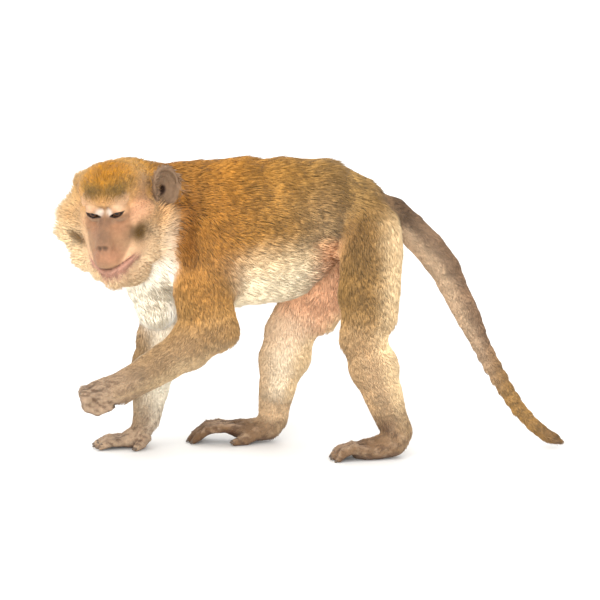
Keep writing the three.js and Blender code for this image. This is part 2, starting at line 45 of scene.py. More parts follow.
# The animal is laid out in mm round its own middle, and on_frame sets it on the frame.
MIDDLE = np.array([13.7, -4.7, 0.0])
LOOK_AT = np.array([0.0, 0.0, 177.0])
AZIMUTH, ELEVATION = math.radians(-6.0), math.radians(10.0)
DISTANCE, HALF_VIEW = 3200.0, 345.0
SENSOR = 36.0


def on_frame(points):
    return (np.asarray(points, float) - MIDDLE) * MM


back = np.array([
    math.sin(AZIMUTH) * math.cos(ELEVATION),
    -math.cos(AZIMUTH) * math.cos(ELEVATION),
    math.sin(ELEVATION),
])
right = np.array([math.cos(AZIMUTH), math.sin(AZIMUTH), 0.0])
upward = np.cross(back, right)
camera_at = LOOK_AT + back * DISTANCE

camera_data = bpy.data.cameras.new("camera")
camera_data.sensor_width = SENSOR
camera_data.lens = SENSOR / 2 / (HALF_VIEW / DISTANCE)
camera_data.clip_end = 100.0
camera = bpy.data.objects.new("camera", camera_data)
bpy.context.scene.collection.objects.link(camera)
turn = Matrix(np.column_stack([right, upward, back]).tolist()).to_4x4()
camera.matrix_world = Matrix.Translation(Vector(on_frame(camera_at))) @ turn
bpy.context.scene.camera = camera
bpy.context.scene.view_settings.view_transform = "Standard"


def mesh_object(name, vertices, faces, smooth=True):
    mesh = bpy.data.meshes.new(name)
    mesh.from_pydata(vertices, [], faces)
    mesh.validate()
    mesh.shade_smooth() if smooth else mesh.shade_flat()
    piece = bpy.data.objects.new(name, mesh)
    bpy.context.scene.collection.objects.link(piece)
    return piece


def lamp(name, at, strength, spread):
    """A broad far-off lamp that shines from `at` towards the middle of the stage."""
    data = bpy.data.lights.new(name, "SUN")
    data.energy = strength
    data.angle = math.radians(spread)
    light = bpy.data.objects.new(name, data)
    light.location = at
    light.rotation_euler = (-Vector(at)).to_track_quat("-Z", "Y").to_euler()
    bpy.context.scene.collection.objects.link(light)


lamp("key", (-1.4, -2.4, 2.8), 1.1, 50.0)
lamp("front", (-0.5, -3.2, 0.8), 1.5, 25.0)
lamp("fill", (2.2, -2.6, 1.2), 0.4, 70.0)
lamp("low", (-2.8, -1.4, 0.4), 0.75, 60.0)
lamp("rim", (0.6, 2.4, 2.6), 0.6, 40.0)

world = bpy.data.worlds.new("studio")
world.use_nodes = True
world.node_tree.nodes["Background"].inputs["Color"].default_value = (1.0, 0.99, 0.975, 1.0)
world.node_tree.nodes["Background"].inputs["Strength"].default_value = 1.2
bpy.context.scene.world = world

FLOOR_HALF = 12.0
corners = [(x * FLOOR_HALF, y * FLOOR_HALF, 0) for x, y in ((-1, -1), (1, -1), (1, 1), (-1, 1))]
floor = mesh_object("floor", corners, [(0, 1, 2, 3)])
floor_finish = bpy.data.materials.new("floor")
floor_finish.use_nodes = True
for socket, value in (("Base Color", (0.8, 0.8, 0.79, 1.0)), ("Roughness", 0.85)):
    floor_finish.node_tree.nodes["Principled BSDF"].inputs[socket].default_value = value
floor.data.materials.append(floor_finish)

# ---------------------------------------------------------------------------------------------------------
# The flesh. Rounded masses of bone and muscle, each from one point to another with a radius at each end,
# melt into one another as muscle does under skin. They are measured to the tips of the fur, and coat is
# how deep the fur is over each end, so that the skin lies that much further in.

FAR = 60.0  # mm, a distance beyond which no mass is felt

HEAD_AT = (-202.0, -20.0, 304.0)  # midway between the ear openings
HEAD_TURN = math.radians(67.0)  # from straight ahead towards the animal's left
HEAD_NOD = math.radians(24.5)  # face down
HEAD_TILT = math.radians(4.5)  # left ear up
head_frame = (
    Matrix.Translation(HEAD_AT)
    @ Matrix.Rotation(math.pi + HEAD_TURN, 4, "Z")
    @ Matrix.Rotation(HEAD_NOD, 4, "Y")
    @ Matrix.Rotation(HEAD_TILT, 4, "X")
)
HEAD_AXES = np.array(head_frame.to_3x3())  # columns: out of the face, its left, out of the crown
HEAD_ORIGIN = np.array(HEAD_AT)


def to_head(x, y, z):
    x, y, z = x - HEAD_ORIGIN[0], y - HEAD_ORIGIN[1], z - HEAD_ORIGIN[2]
    return tuple(x * a[0] + y * a[1] + z * a[2] for a in HEAD_AXES.T.tolist())


def from_head(p):
    return HEAD_ORIGIN + HEAD_AXES @ np.asarray(p, float)


def melt(a, b, blend):
    near = np.maximum(blend - np.abs(a - b), 0.0) / blend
    return np.minimum(a, b) - near * near * (blend / 4)


class Mass:
    def __init__(self, part, start, end, radii, side=1.0, blend=20.0, coat=(0.0, 0.0), of_head=False):
        self.part, self.side, self.blend, self.of_head = part, side, blend, of_head
        self.start, self.end = np.array(start, float), np.array(end, float)
        self.coat = coat if isinstance(coat, tuple) else (coat, coat)
        self.radii = [r - c for r, c in zip(radii, self.coat)]
        self.digit = None
        self.ends = [from_head(p) if of_head else p for p in (self.start, self.end)]
        reach = max(self.radii) * max(1.0, side) + blend + 7.0
        self.low = np.minimum(*self.ends) - reach
        self.high = np.maximum(*self.ends) + reach

    def distance(self, x, y, z):
        if self.of_head:
            x, y, z = to_head(x, y, z)
        ax, ay, az = self.start.tolist()
        bx, by, bz = (self.end - self.start).tolist()
        t = np.clip(((x - ax) * bx + (y - ay) * by + (z - az) * bz) / (bx * bx + by * by + bz * bz), 0.0, 1.0)
        across = (y - ay - t * by) / self.side
        away = np.sqrt((x - ax - t * bx) ** 2 + across**2 + (z - az - t * bz) ** 2)
        return away - (self.radii[0] + (self.radii[1] - self.radii[0]) * t)


def between(a, b, share):
    return [p + (q - p) * share for p, q in zip(a, b)]


def chain(part, stops, blend, coats, flat=1.0, waist=1.0):
    """Masses along stops of (point, radius, side), with a waist midway between each two."""
    masses = []
    for i in range(len(stops) - 1):
        (a, ra, sa), (b, rb, sb) = stops[i], stops[i + 1]
        middle, rm, sm = between(a, b, 0.5), (ra + rb) / 2 * waist, (sa + sb) / 2
        cm = (coats[i] + coats[i + 1]) / 2
        masses.append(Mass(part, a, middle, [ra, rm], (sa + sm) / 2 * flat, blend, (coats[i], cm)))
        masses.append(Mass(part, middle, b, [rm, rb], (sm + sb) / 2 * flat, blend, (cm, coats[i + 1])))
    return masses


# How deep the fur is, in mm. JOINT_COAT is that over elbow and knee.
TRUNK_COAT, NECK_COAT, UPPER_COAT, JOINT_COAT, LOWER_COAT = 5.5, 6.0, 4.5, 3.0, 3.2
SPINE = [(-140, 0, 261), (-78, 0, 258), (-36, 0, 259), (-6, 0, 272), (28, 0, 285), (62, 0, 282), (92, 0, 273)]
SPINE_RADII = [70, 81, 79, 66, 49, 34, 23]
SPINE_SIDES = [0.72, 0.72, 0.76, 0.9, 1.12, 1.1]
TRUNK_PARTS = ["chest", "chest", "abdomen", "abdomen", "pelvis", "pelvis"]
trunk = [
    Mass(part, SPINE[i], SPINE[i + 1], SPINE_RADII[i:i + 2], SPINE_SIDES[i], coat=TRUNK_COAT)
    for i, part in enumerate(TRUNK_PARTS)
]
neck = [
    Mass("neck", (-136, 0, 281), (-170, -6, 290), [58, 51], 0.74, coat=NECK_COAT),
    Mass("neck", (-150, 0, 248), (-182, -10, 258), [46, 36], 0.84, coat=NECK_COAT),
    Mass("brisket", (-178, 6, 226), (-165, 16, 172), [36, 27], 1.0, coat=NECK_COAT),
]

LEFT_ARM = [(-118, -36, 258), (-99, -56, 155), (-207, -53, 89)]
RIGHT_ARM = [(-146, 36, 236), (-160, 46, 128), (-176, 40, 33)]
LEFT_LEG = [(76, -34, 258), (67, -50, 142), (104, -48, 34)]
RIGHT_LEG = [(62, 32, 248), (-9, 50, 132), (-28, 48, 30)]


def limb(upper_part, lower_part, joints, upper, lower, bulge, side=0.8):
    """Two bones, each with a fuller middle."""
    root, middle, end = joints
    belly, calf = between(root, middle, 0.55), between(middle, end, bulge)
    return [
        Mass(upper_part, root, belly, upper[:2], side, coat=(TRUNK_COAT, UPPER_COAT)),
        Mass(upper_part, belly, middle, upper[1:], side, 8.0, (UPPER_COAT, JOINT_COAT)),
        Mass(lower_part, middle, calf, [upper[2], lower[0]], (side + 1) / 2, 8.0, (JOINT_COAT, LOWER_COAT)),
        Mass(lower_part, calf, end, lower, 1.0, 8.0, (LOWER_COAT, LOWER_COAT - 1.0)),
    ]


limbs = (
    limb("upper_arm_left", "forearm_left", LEFT_ARM, [36, 27, 23], [25.5, 18.5], 0.3)
    + limb("upper_arm_right", "forearm_right", RIGHT_ARM, [36, 27, 25], [26, 17], 0.3)
    + limb("thigh_left", "shank_left", LEFT_LEG, [37, 32, 26], [28, 18], 0.32)
    + limb("thigh_right", "shank_right", RIGHT_LEG, [36, 31, 25], [28, 17.5], 0.32)
    + [Mass("thigh_right", (54, 30, 206), (31, 38, 154), [32, 23], 0.8, coat=UPPER_COAT)]
    + [Mass("shank_right", (3, 44, 146), (-4, 49, 108), [22, 20], 0.8, coat=LOWER_COAT)]
    + [Mass("upper_arm_left", (-122, -46, 200), (-124, -54, 152), [28, 20], 0.8, coat=UPPER_COAT)]
    + [Mass("thigh_left", (81, -40, 236), (82, -46, 172), [30, 26], 0.8, coat=UPPER_COAT)]
)


def skull_mass(part, start, end, radii, side=1.0, blend=20.0, coat=0.0):
    return Mass(part, start, end, radii, side, blend, coat, of_head=True)


def both_sides(part, start, end, *rest):
    return [
        skull_mass(part, (start[0], y * start[1], start[2]), (end[0], y * end[1], end[2]), *rest)
        for y in (1, -1)
    ]


skull = [
    skull_mass("crown", (20, -2, 19), (-14, 0, 8), [35.5, 31], 1.2, 14, 5.0),
    skull_mass("brow", (49.5, -18, 23), (49.5, 18, 23), [9, 9], 1.0, 9, 1.5),
    skull_mass("face", (36, 0, -10), (52, 0, -18), [26, 22], 1.12, 10, 1.5),
    skull_mass("muzzle", (56, 0, -22), (77, 0, -33), [19.5, 15.5], 1.1, 8, 0.8),
    *both_sides("muzzle", (48, 19, -30), (64, 13, -36), [15, 13], 1.0, 10, 1.0),
    skull_mass("nose", (54, 0, 5), (82, 0, -16), [5.5, 6.5], 1.15, 11, 0.6),
    *both_sides("cheek", (46, 24, -4), (26, 32, -4), [11.5, 14], 1.0, 10, 2.0),
    *both_sides("jaw", (48, 15, -30), (10, 28, -22), [17, 21], 1.0, 14, (3.0, 5.0)),
    skull_mass("ruff", (32, -33, -28), (10, -53, -16), [22, 23], 1.0, 16, (10.0, 10.0)),
    skull_mass("ruff", (38, -35, -51), (12, -58, -37), [21, 24], 1.0, 16, (8.0, 10.0)),
    skull_mass("ruff", (54, -18, -57), (38, -32, -55), [19, 20], 1.0, 14, (2.5, 3.5)),
    skull_mass("temple", (8, -49, -12), (6, -37, 22), [22, 17], 1.0, 14, (10.0, 8.0)),
    skull_mass("ruff", (30, 30, -30), (8, 40, -30), [20, 19], 1.0, 16, (10.0, 9.0)),
    skull_mass("ruff", (36, 28, -52), (12, 38, -50), [19, 19], 1.0, 16, (10.0, 9.0)),
    skull_mass("chin", (76, 2, -54), (48, 5, -63), [15, 21.5], 1.05, 9, (1.5, 2.0)),
    skull_mass("throat", (40, 0, -44), (0, 0, -30), [22, 34], 1.1, 16, 9.0),
]

TAIL_STOPS = [
    ((84, 0, 284), 21), ((106, 0, 277), 19.5), ((127, -0.5, 258.5), 19), ((148, -1.5, 237), 18),
    ((167, -3, 212), 17.5), ((182, -4, 181), 15.2), ((195, -6, 155), 14.2), ((208, -8, 126), 11),
    ((222, -10, 99), 10.4), ((238, -12, 71), 9.4), ((253, -14, 47.5), 8.6), ((269, -17, 30), 8),
    ((284, -19, 17), 7.4), ((299, -21, 9.6), 6.2),
]
TAIL_COAT = 3.2
tail = chain("tail", [(at, r, 0.95) for at, r in TAIL_STOPS], 8.0, [7, 5.5, 4.5] + [TAIL_COAT] * 11)

# The left hand hangs as a loose fist and the right one is planted flat. The left foot pushes off from its
# toes, and the right foot is set down on its great toe and the tips of the others.
CUFF_COAT, HAND_COAT, DIGIT_COAT = 3.5, 1.0, 0.5


def digits(part, paths, radii, waist=0.9):
    masses = []
    for path in paths:
        stops = [(at, r, 1.0) for at, r in zip(path, radii)]
        found = chain(part, stops, 2.5, [DIGIT_COAT] * len(path), waist=waist)
        found[0].blend = 1.2
        for m in found:
            m.digit = path[0]
        masses += found
    return masses


def palm(part, stops, cuff):
    coats = [cuff, 2.0] + [HAND_COAT] * (len(stops) - 2)
    return chain(part, [(at, high, wide / high) for at, wide, high in stops], 6.0, coats)


fist = palm("hand_left", [
    ((-190, -53, 100), 17, 18), ((-210, -53, 89), 16, 17), ((-228, -52, 84), 16.5, 15),
    ((-244, -51, 82), 16, 11),
], CUFF_COAT)
fist_digits = digits("hand_left", [
    [(-234, -52 + s * 0.9, 87), (-251 + abs(i - 1.4) * 1.2, -52 + s, 84),
     (-248 + abs(i - 1.4) * 1.2, -52 + s, 70), (-236, -52 + s * 0.95, 65.5), (-222, -52 + s * 0.85, 69)]
    for i, s in enumerate([-13, -4.5, 4.5, 13])
], [6, 6.4, 6, 5.6, 4.6])
fist_digits += digits("hand_left", [[(-214, -40, 84), (-226, -36, 76), (-234, -39, 70)]], [6, 5.4, 4.4])

flat_hand = palm("hand_right", [
    ((-171, 41, 46), 14.5, 14.5), ((-177, 40, 28), 14, 12.5), ((-186, 39, 12), 15, 12),
    ((-203, 38, 7.5), 16, 8),
], CUFF_COAT)
flat_digits = digits("hand_right", [
    [(-196, 38 + s * 0.8, 8.5), (-211 + abs(i - 1.5) * 2, 38 + s * 1.05, 8.5),
     (-224 + abs(i - 1.5) * 3, 38 + s * 1.25, 8), (-236 + abs(i - 1.5) * 4, 38 + s * 1.35, 3.9)]
    for i, s in enumerate([-12, -4.2, 4.2, 12])
], [5.8, 5.4, 4.8, 4.2])
flat_digits += digits("hand_right", [[(-177, 28, 12), (-183, 20, 7), (-189, 15, 3.8)]], [6.4, 5.6, 4.6])

left_sole = palm("foot_left", [
    ((100, -48, 48), 17, 18), ((108, -48, 30), 16, 16), ((102, -48, 17), 15, 15), ((82, -48, 11), 17, 12),
    ((62, -48, 9), 19, 10),
], CUFF_COAT)
left_toes = digits("foot_left", [
    [(70, -49 + s * 0.9, 10), (56, -49 + s * 1.05, 14.5 - i), (44 - i * 0.5, -49 + s * 1.15, 11 - i),
     (33 + abs(i - 1.5) * 3, -49 + s * 1.2, 4.0)]
    for i, s in enumerate([-14, -5, 4, 12])
], [6.4, 6.4, 5.6, 4.6])
left_toes += digits("foot_left", [[(90, -38, 10), (74, -28, 7), (60, -23, 4.4)]], [7.4, 6.6, 5])

right_sole = palm("foot_right", [
    ((-23, 48, 46), 15.5, 16), ((-25, 48, 28), 15, 15), ((-33, 48, 17), 15, 14), ((-54, 49, 14), 17, 12),
    ((-76, 52, 17), 18, 9),
], CUFF_COAT)
right_toes = digits("foot_right", [
    [(-68, 51 + s * 0.9, 17), (-90, 54 + s * 1.05, 19), (-106 + abs(i - 1.2) * 2, 56 + s * 1.15, 17),
     (-118 + abs(i - 1.2) * 3, 58 + s * 1.2, 9), (-125 + abs(i - 1.2) * 4, 58 + s * 1.2, 3.9)]
    for i, s in enumerate([-12, -4, 5, 13])
], [6.2, 5.8, 5.6, 5, 4.2])
right_toes += digits("foot_right", [[(-46, 38, 12), (-60, 33, 6.5), (-73, 29, 4.4)]], [7.4, 6.6, 5])

# Each group of masses and how softly it melts into the groups before it.
flesh = [
    (trunk + neck, 1.0), (limbs, 22.0), (skull, 14.0), (tail, 8.0),
    (fist, 4.0), (fist_digits, 2.5), (flat_hand, 4.0), (flat_digits, 2.5),
    (left_sole, 4.0), (left_toes, 2.5), (right_sole, 4.0), (right_toes, 2.5),
]
every_mass = [m for masses, _ in flesh for m in masses]

# The ears are thin dishes that open forwards and outwards, with a rolled rim and a slight point.
# The left one is pricked and the right one laid back under the hair of the temple.
EAR = {"height": 46.0, "width": 32.0, "deep": 9.0, "wall": 2.6}
# The middle of each ear, how far it is turned out and how far it leans, in degrees.
EAR_PLACES = {1: ((-5.0, 51.0, 6.0), 52.0, 12.0), -1: ((-20.0, -43.0, -6.0), 80.0, 4.0)}
EYE = {"forward": 50.0, "apart": 28.4, "up": 11.0, "radius": 9.6}


def ear_frame(sign):
    """Columns: outwards across the ear, up it, and out of its opening, all in the head's own frame."""
    middle, turned_out, lean = EAR_PLACES[sign]
    facing = (
        Matrix.Rotation(sign * math.radians(turned_out), 3, "Z")
        @ Matrix.Rotation(-sign * math.radians(lean), 3, "X")
        @ Matrix(((0, 0, 1), (sign, 0, 0), (0, 1, 0)))
    )
    return np.array(facing), np.array(middle)


def in_ear(x, y, z, sign):
    axes, at = ear_frame(sign)
    x, y, z = x - at[0], y - at[1], z - at[2]
    return tuple(x * a[0] + y * a[1] + z * a[2] for a in axes.T.tolist())


def ear_outline(across, up):
    """1 on the rim, less inside it."""
    round_it = np.arctan2(up, across)
    point = 1 + 0.14 * np.maximum(0, np.cos(round_it - 2.0)) ** 6
    lobe = 1 - 0.14 * np.maximum(0, -np.sin(round_it))
    wide, high = EAR["width"] / 2 * point * lobe, EAR["height"] / 2 * point
    return np.sqrt((across / wide) ** 2 + (up / high) ** 2)


def ear_field(x, y, z, sign):
    across, up, out = in_ear(x, y, z, sign)
    share = ear_outline(across, up)
    dish = -EAR["deep"] * np.clip(1.03 - share**2.6, -0.2, 1.2)
    shell = np.abs(out - dish) * 0.72 - EAR["wall"] / 2
    plate = np.maximum(shell, (share - 1) * EAR["width"] / 2)
    rim = np.sqrt(((share - 0.94) * EAR["width"] / 2) ** 2 + (out - 0.4) ** 2) - 1.9
    fold = np.sqrt(((share - 0.6) * EAR["width"] / 2) ** 2 + (out + 5.4) ** 2) - 1.7
    fold = np.where(up - across * 0.4 > -4, fold, FAR)
    lug = np.sqrt((across + 8.5) ** 2 + (up + 5.0) ** 2 + (out + 4.0) ** 2) - 3.4
    ear = melt(melt(plate, rim, 2.0), melt(fold, lug, 2.0), 2.0)
    canal = np.sqrt((across + 2.5) ** 2 + (up + 4.5) ** 2 + ((out + EAR["deep"]) * 0.6) ** 2) - 4.8
    clearing = (np.sqrt((across / 15.5) ** 2 + (up / 22) ** 2 + ((out - 7) / 15) ** 2) - 1) * 15
    return ear, canal, clearing


def lid_slit(lateral, up):
    """Below zero inside the opening between the lids of one eye."""
    lean = math.radians(17.0)
    along = lateral * math.cos(lean) + up * math.sin(lean)
    over = -lateral * math.sin(lean) + up * math.cos(lean)
    open_to = 1 - (along / 8.4) ** 2
    return np.maximum(over - 2.3 * open_to, -2.4 * open_to - over)


def bump_at(x, y, z, spot, radius):
    """1 at the spot, fading to nothing at about twice the radius."""
    return np.exp(-((x - spot[0]) ** 2 + (y - spot[1]) ** 2 + (z - spot[2]) ** 2) / radius**2)


def line_to(x, y, z, start, end):
    """Distance to the straight line between two points."""
    (ax, ay, az), (bx, by, bz) = start, (e - s for e, s in zip(end, start))
    t = np.clip(((x - ax) * bx + (y - ay) * by + (z - az) * bz) / (bx * bx + by * by + bz * bz), 0, 1)
    return np.sqrt((x - ax - t * bx) ** 2 + (y - ay - t * by) ** 2 + (z - az - t * bz) ** 2)


def soft(value, low, high):
    """0 below low and 1 above high, smooth between. low may be the greater."""
    t = np.clip((value - low) / (high - low), 0, 1)
    return t * t * (3 - 2 * t)


MOUTH_Z, MOUTH_RISE, MOUTH_HALF = -41.0, 0.0052, 29.0
NOSTRIL = (87.0, 3.6 * 0.8 - 15.5 * 0.3, -15.5)  # its height also slants across it
# The folds of the face: how deep, from where to where on either side, and how wide.
FACE_FOLDS = (
    (0.9, (80, 12, -20), (66, 23, -36), 2.0),
    (0.8, (66, 9, 0), (56, 26, -9), 1.4),
    (0.5, (70, 9, -8), (56, 27, -20), 1.3),
    (0.5, (60, 22, 8), (46, 33, 4), 1.1),
    (0.45, (58, 21, 12), (46, 32, 12), 1.0),
)


def mouth_height(y):
    return MOUTH_Z + MOUTH_RISE * y * y


def shape_head(x, y, z, field):
    """The eyelids, nostrils, lips and ears, in the head's own frame."""
    x, y, z = to_head(x, y, z)
    over = z - mouth_height(y)
    at_mouth = soft(x, 48, 60) * soft(np.abs(y), MOUTH_HALF, MOUTH_HALF - 6)
    lips = 0.9 * np.exp(-(((over - 3.4) / 2.4) ** 2)) + 2.2 * np.exp(-(((over + 4.6) / 3.4) ** 2))
    field = field - at_mouth * lips
    field = field + at_mouth * 3.0 * np.exp(-((over / 0.9) ** 2))
    frown = 0.8 * soft(x, 48, 54) * soft(np.abs(z - 18), 12, 7) * np.exp(-(((np.abs(y) - 3.2) / 1.3) ** 2))
    field = field + frown
    for sign in (1, -1):
        side = y * sign
        field = field - 1.6 * bump_at(x, side, z, (81, 7.2, -15.5), 4.2)
        field = field + 5.0 * bump_at(x, side * 0.8 + z * 0.3, z, NOSTRIL, 2.2)
        for deep, start, end, breadth in FACE_FOLDS:
            field = field + deep * np.exp(-((line_to(x, side, z, start, end) / breadth) ** 2))
        lateral = side - EYE["apart"] / 2
        ahead, up = x - EYE["forward"], z - EYE["up"]
        away = np.sqrt(ahead**2 + lateral**2 + up**2)
        field = melt(field, away - EYE["radius"] - 1.4, 3.0)
        field = field + 0.9 * soft(up, 2, 6) * soft(ahead, -4, 2) * np.exp(-(((away - 13.2) / 1.1) ** 2))
        field = field + 0.6 * soft(up, -2, -6) * soft(ahead, -4, 2) * np.exp(-(((away - 12.8) / 1.0) ** 2))
        field = np.maximum(field, -np.maximum(lid_slit(lateral, up), 3.0 - ahead))
        ear, canal, clearing = ear_field(x, y, z, sign)
        axes, at = ear_frame(sign)
        cup = at - axes[:, 2] * (EAR["deep"] + 1.0)
        field = melt(field, line_to(x, y, z, tuple(cup), (at[0] - 4, sign * 24, 0)) - 8.0, 10.0)
        if sign > 0:
            field = np.maximum(field, -np.maximum(clearing, -14.0))
        field = melt(np.maximum(field, -np.maximum(canal + 1.5, -8.0)), ear, 3.0)
        field = np.maximum(field, -canal)
    return field


FIST_HOLLOW = ((-243, -69, 74.5), (-235, -69, 78.5))  # between the curled fingers and the palm
THUMB_FOLD = ((-240, -69, 90), (-228, -70, 91))


def shape_fist(x, y, z, field):
    """The folds that the curled fingers leave on the side of the fist."""
    field = field + 3.4 * np.exp(-((line_to(x, y, z, *FIST_HOLLOW) / 2.2) ** 2))
    return field + 1.6 * np.exp(-((line_to(x, y, z, *THUMB_FOLD) / 1.8) ** 2))


def blended(masses, axes):
    """The box that the masses are felt in, as slices of the axes, and their field inside it."""
    low = np.min([m.low for m in masses], axis=0)
    high = np.max([m.high for m in masses], axis=0)
    box = [slice(*np.searchsorted(axis, (low[n], high[n]))) for n, axis in enumerate(axes)]
    inner = [axis[s] for axis, s in zip(axes, box)]
    local = np.full([len(axis) for axis in inner], FAR, np.float32)
    for m in masses:
        part = tuple(slice(*np.searchsorted(axis, (m.low[n], m.high[n]))) for n, axis in enumerate(inner))
        x, y, z = np.ix_(*[axis[s] for axis, s in zip(inner, part)])
        local[part] = melt(local[part], m.distance(x, y, z).astype(np.float32), m.blend)
    return tuple(box), local


HEAD_REACH = 84.0  # mm round the head's origin that holds all of its features


def field_on(axes):
    """The skin's field on a grid: below zero inside the flesh."""
    whole = np.full([len(axis) for axis in axes], FAR, np.float32)
    for masses, join in flesh:
        box, local = blended(masses, axes)
        whole[box] = melt(whole[box], local, join)
        if masses is fist_digits:
            x, y, z = np.ix_(*[axis[s] for axis, s in zip(axes, box)])
            whole[box] = shape_fist(x, y, z, whole[box])
    centre = from_head((30, 0, -10))
    box = tuple(
        slice(*np.searchsorted(axis, (centre[n] - HEAD_REACH, centre[n] + HEAD_REACH)))
        for n, axis in enumerate(axes)
    )
    x, y, z = np.ix_(*[axis[s] for axis, s in zip(axes, box)])
    whole[box] = shape_head(x, y, z, whole[box])
    return np.maximum(whole, -axes[2].astype(np.float32))


def field_at(points):
    """The same field at single points."""
    x, y, z = points.T
    whole = np.full(len(points), FAR)
    for masses, join in flesh:
        local = np.full(len(points), FAR)
        for m in masses:
            near = np.all((points > m.low) & (points < m.high), axis=1)
            if near.any():
                local[near] = melt(local[near], m.distance(x[near], y[near], z[near]), m.blend)
        whole = melt(whole, local, join)
        if masses is fist_digits:
            near = local < FAR
            whole[near] = shape_fist(x[near], y[near], z[near], whole[near])
    near = np.linalg.norm(points - from_head((30, 0, -10)), axis=1) < HEAD_REACH * 1.7
    whole[near] = shape_head(x[near], y[near], z[near], whole[near])
    return np.maximum(whole, -z)


# ---------------------------------------------------------------------------------------------------------
# The skin: one closed mesh over all of the flesh, drawn where the field is zero and made finer on the face.


def stepped(*runs):
    """An axis of grid lines from runs of (start, end, step)."""
    lines = [np.arange(a, b - step * 0.3, step) for a, b, step in runs]
    return np.concatenate(lines + [[runs[-1][1]]])


def single_faces(values):
    """Takes in an outer corner wherever two opposite corners of a grid face are inside and two outside."""
    for _ in range(12):
        changed = 0
        for m, n in ((0, 1), (0, 2), (1, 2)):
            def corner(i, j):
                cut = [slice(None)] * 3
                cut[m] = slice(1, None) if i else slice(None, -1)
                cut[n] = slice(1, None) if j else slice(None, -1)
                return tuple(cut)
            four = [corner(0, 0), corner(1, 0), corner(1, 1), corner(0, 1)]
            inside = [values[c] < 0 for c in four]
            mixed = (inside[0] == inside[2]) & (inside[1] == inside[3]) & (inside[0] != inside[1])
            where = np.argwhere(mixed)
            for at in where:
                found = []
                for c, (i, j) in zip(four, ((0, 0), (1, 0), (1, 1), (0, 1))):
                    spot = at.copy()
                    spot[m] += i
                    spot[n] += j
                    if values[tuple(spot)] >= 0:
                        found.append((values[tuple(spot)], tuple(spot)))
                if len(found) == 2:
                    values[min(found)[1]] = -1e-3
                    changed += 1
        if not changed:
            return


def surface_net(values, axes):
    """Vertices and quads of the level zero, one vertex to a grid cell that it crosses."""
    inside = values < 0
    shape = np.array(values.shape) - 1
    corners = [(c & 1, (c >> 1) & 1, (c >> 2) & 1) for c in range(8)]
    count = np.zeros(shape, np.int8)
    for i, j, k in corners:
        count += inside[i:shape[0] + i, j:shape[1] + j, k:shape[2] + k]
    cells = np.argwhere((count > 0) & (count < 8))
    value = np.stack([values[tuple((cells + c).T)] for c in corners], 1)
    total = np.zeros((len(cells), 3))
    crossings = np.zeros(len(cells))
    for c, at in enumerate(corners):
        for bit in (1, 2, 4):
            if c & bit:
                continue
            d = c | bit
            crossed = (value[:, c] < 0) != (value[:, d] < 0)
            t = value[crossed, c] / (value[crossed, c] - value[crossed, d])
            total[crossed] += np.array(at) + t[:, None] * (np.array(corners[d]) - at)
            crossings[crossed] += 1
    share = total / crossings[:, None]
    points = np.stack([
        axes[n][cells[:, n]] + share[:, n] * (axes[n][cells[:, n] + 1] - axes[n][cells[:, n]])
        for n in range(3)
    ], 1)
    number = np.full(shape, -1, np.int32)
    number[tuple(cells.T)] = np.arange(len(cells))
    quads = []
    for n in range(3):
        m, o = (n + 1) % 3, (n + 2) % 3
        low, high = [slice(1, -1)] * 3, [slice(1, -1)] * 3
        low[n], high[n] = slice(0, -1), slice(1, None)
        crossed = inside[tuple(low)] != inside[tuple(high)]
        at = np.argwhere(crossed)
        at[:, m] += 1
        at[:, o] += 1
        leaving = inside[tuple(at.T)]
        ring = []
        for dm, do in ((-1, -1), (0, -1), (0, 0), (-1, 0)):
            spot = at.copy()
            spot[:, m] += dm
            spot[:, o] += do
            ring.append(number[tuple(spot.T)])
        ring = np.stack(ring, 1)
        ring[~leaving] = ring[~leaving][:, ::-1]
        quads.append(ring)
    return points, np.concatenate(quads)


def drawn_on(points, most, rounds=2):
    """The points moved onto the skin along the field's slope, by no more than `most` each time."""
    e = 0.15
    for _ in range(rounds):
        here = field_at(points)
        slope = np.stack([(field_at(points + e * axis) - here) / e for axis in np.eye(3)], 1)
        steep = np.maximum(np.sum(slope**2, axis=1), 0.04)
        points = points - slope * (np.clip(here / np.sqrt(steep), -most, most) / np.sqrt(steep))[:, None]
    return points


def finer(points, triangles, wanted):
    """Splits the edges whose middles are wanted, and the triangles that they bound."""
    edges = np.sort(np.concatenate([triangles[:, pair] for pair in ([0, 1], [1, 2], [2, 0])]), axis=1)
    keys, back_to = np.unique(edges, axis=0, return_inverse=True)
    middle = points[keys].mean(1)
    split = wanted(middle)
    added = np.full(len(keys), -1)
    added[split] = len(points) + np.arange(split.sum())
    points = np.concatenate([points, middle[split]])
    new = added[back_to.reshape(3, -1)].T
    made = []
    number = (new >= 0).sum(1)
    made.append(triangles[number == 0])
    for turned in range(3):
        order = [(i + turned) % 3 for i in range(3)]
        t, e = triangles[:, order], new[:, order]
        one = (number == 1) & (e[:, 0] >= 0)
        a, b, c, m = t[one, 0], t[one, 1], t[one, 2], e[one, 0]
        made += [np.stack([a, m, c], 1), np.stack([m, b, c], 1)]
        two = (number == 2) & (e[:, 2] < 0)
        a, b, c, m, o = t[two, 0], t[two, 1], t[two, 2], e[two, 0], e[two, 1]
        made += [np.stack([a, m, c], 1), np.stack([m, o, c], 1), np.stack([m, b, o], 1)]
    three = number == 3
    (a, b, c), (m, n, o) = triangles[three].T, new[three].T
    made += [np.stack(s, 1) for s in ((a, m, o), (m, b, n), (o, n, c), (m, n, o))]
    return points, np.concatenate(made)


axes = [
    stepped((-279, -140, 1.95), (-140, 125, 2.95), (125, 309, 3.5)),
    stepped((-91, 85, 2.25)),
    stepped((-3, 50, 1.8), (50, 110, 2.6), (110, 230, 4.2), (230, 356, 2.2)),
]
values = field_on(axes)
single_faces(values)
skin_points, quads = surface_net(values, axes)
skin_points = drawn_on(skin_points, 0.8)
skin_faces = np.concatenate([quads[:, [0, 1, 2]], quads[:, [0, 2, 3]]])


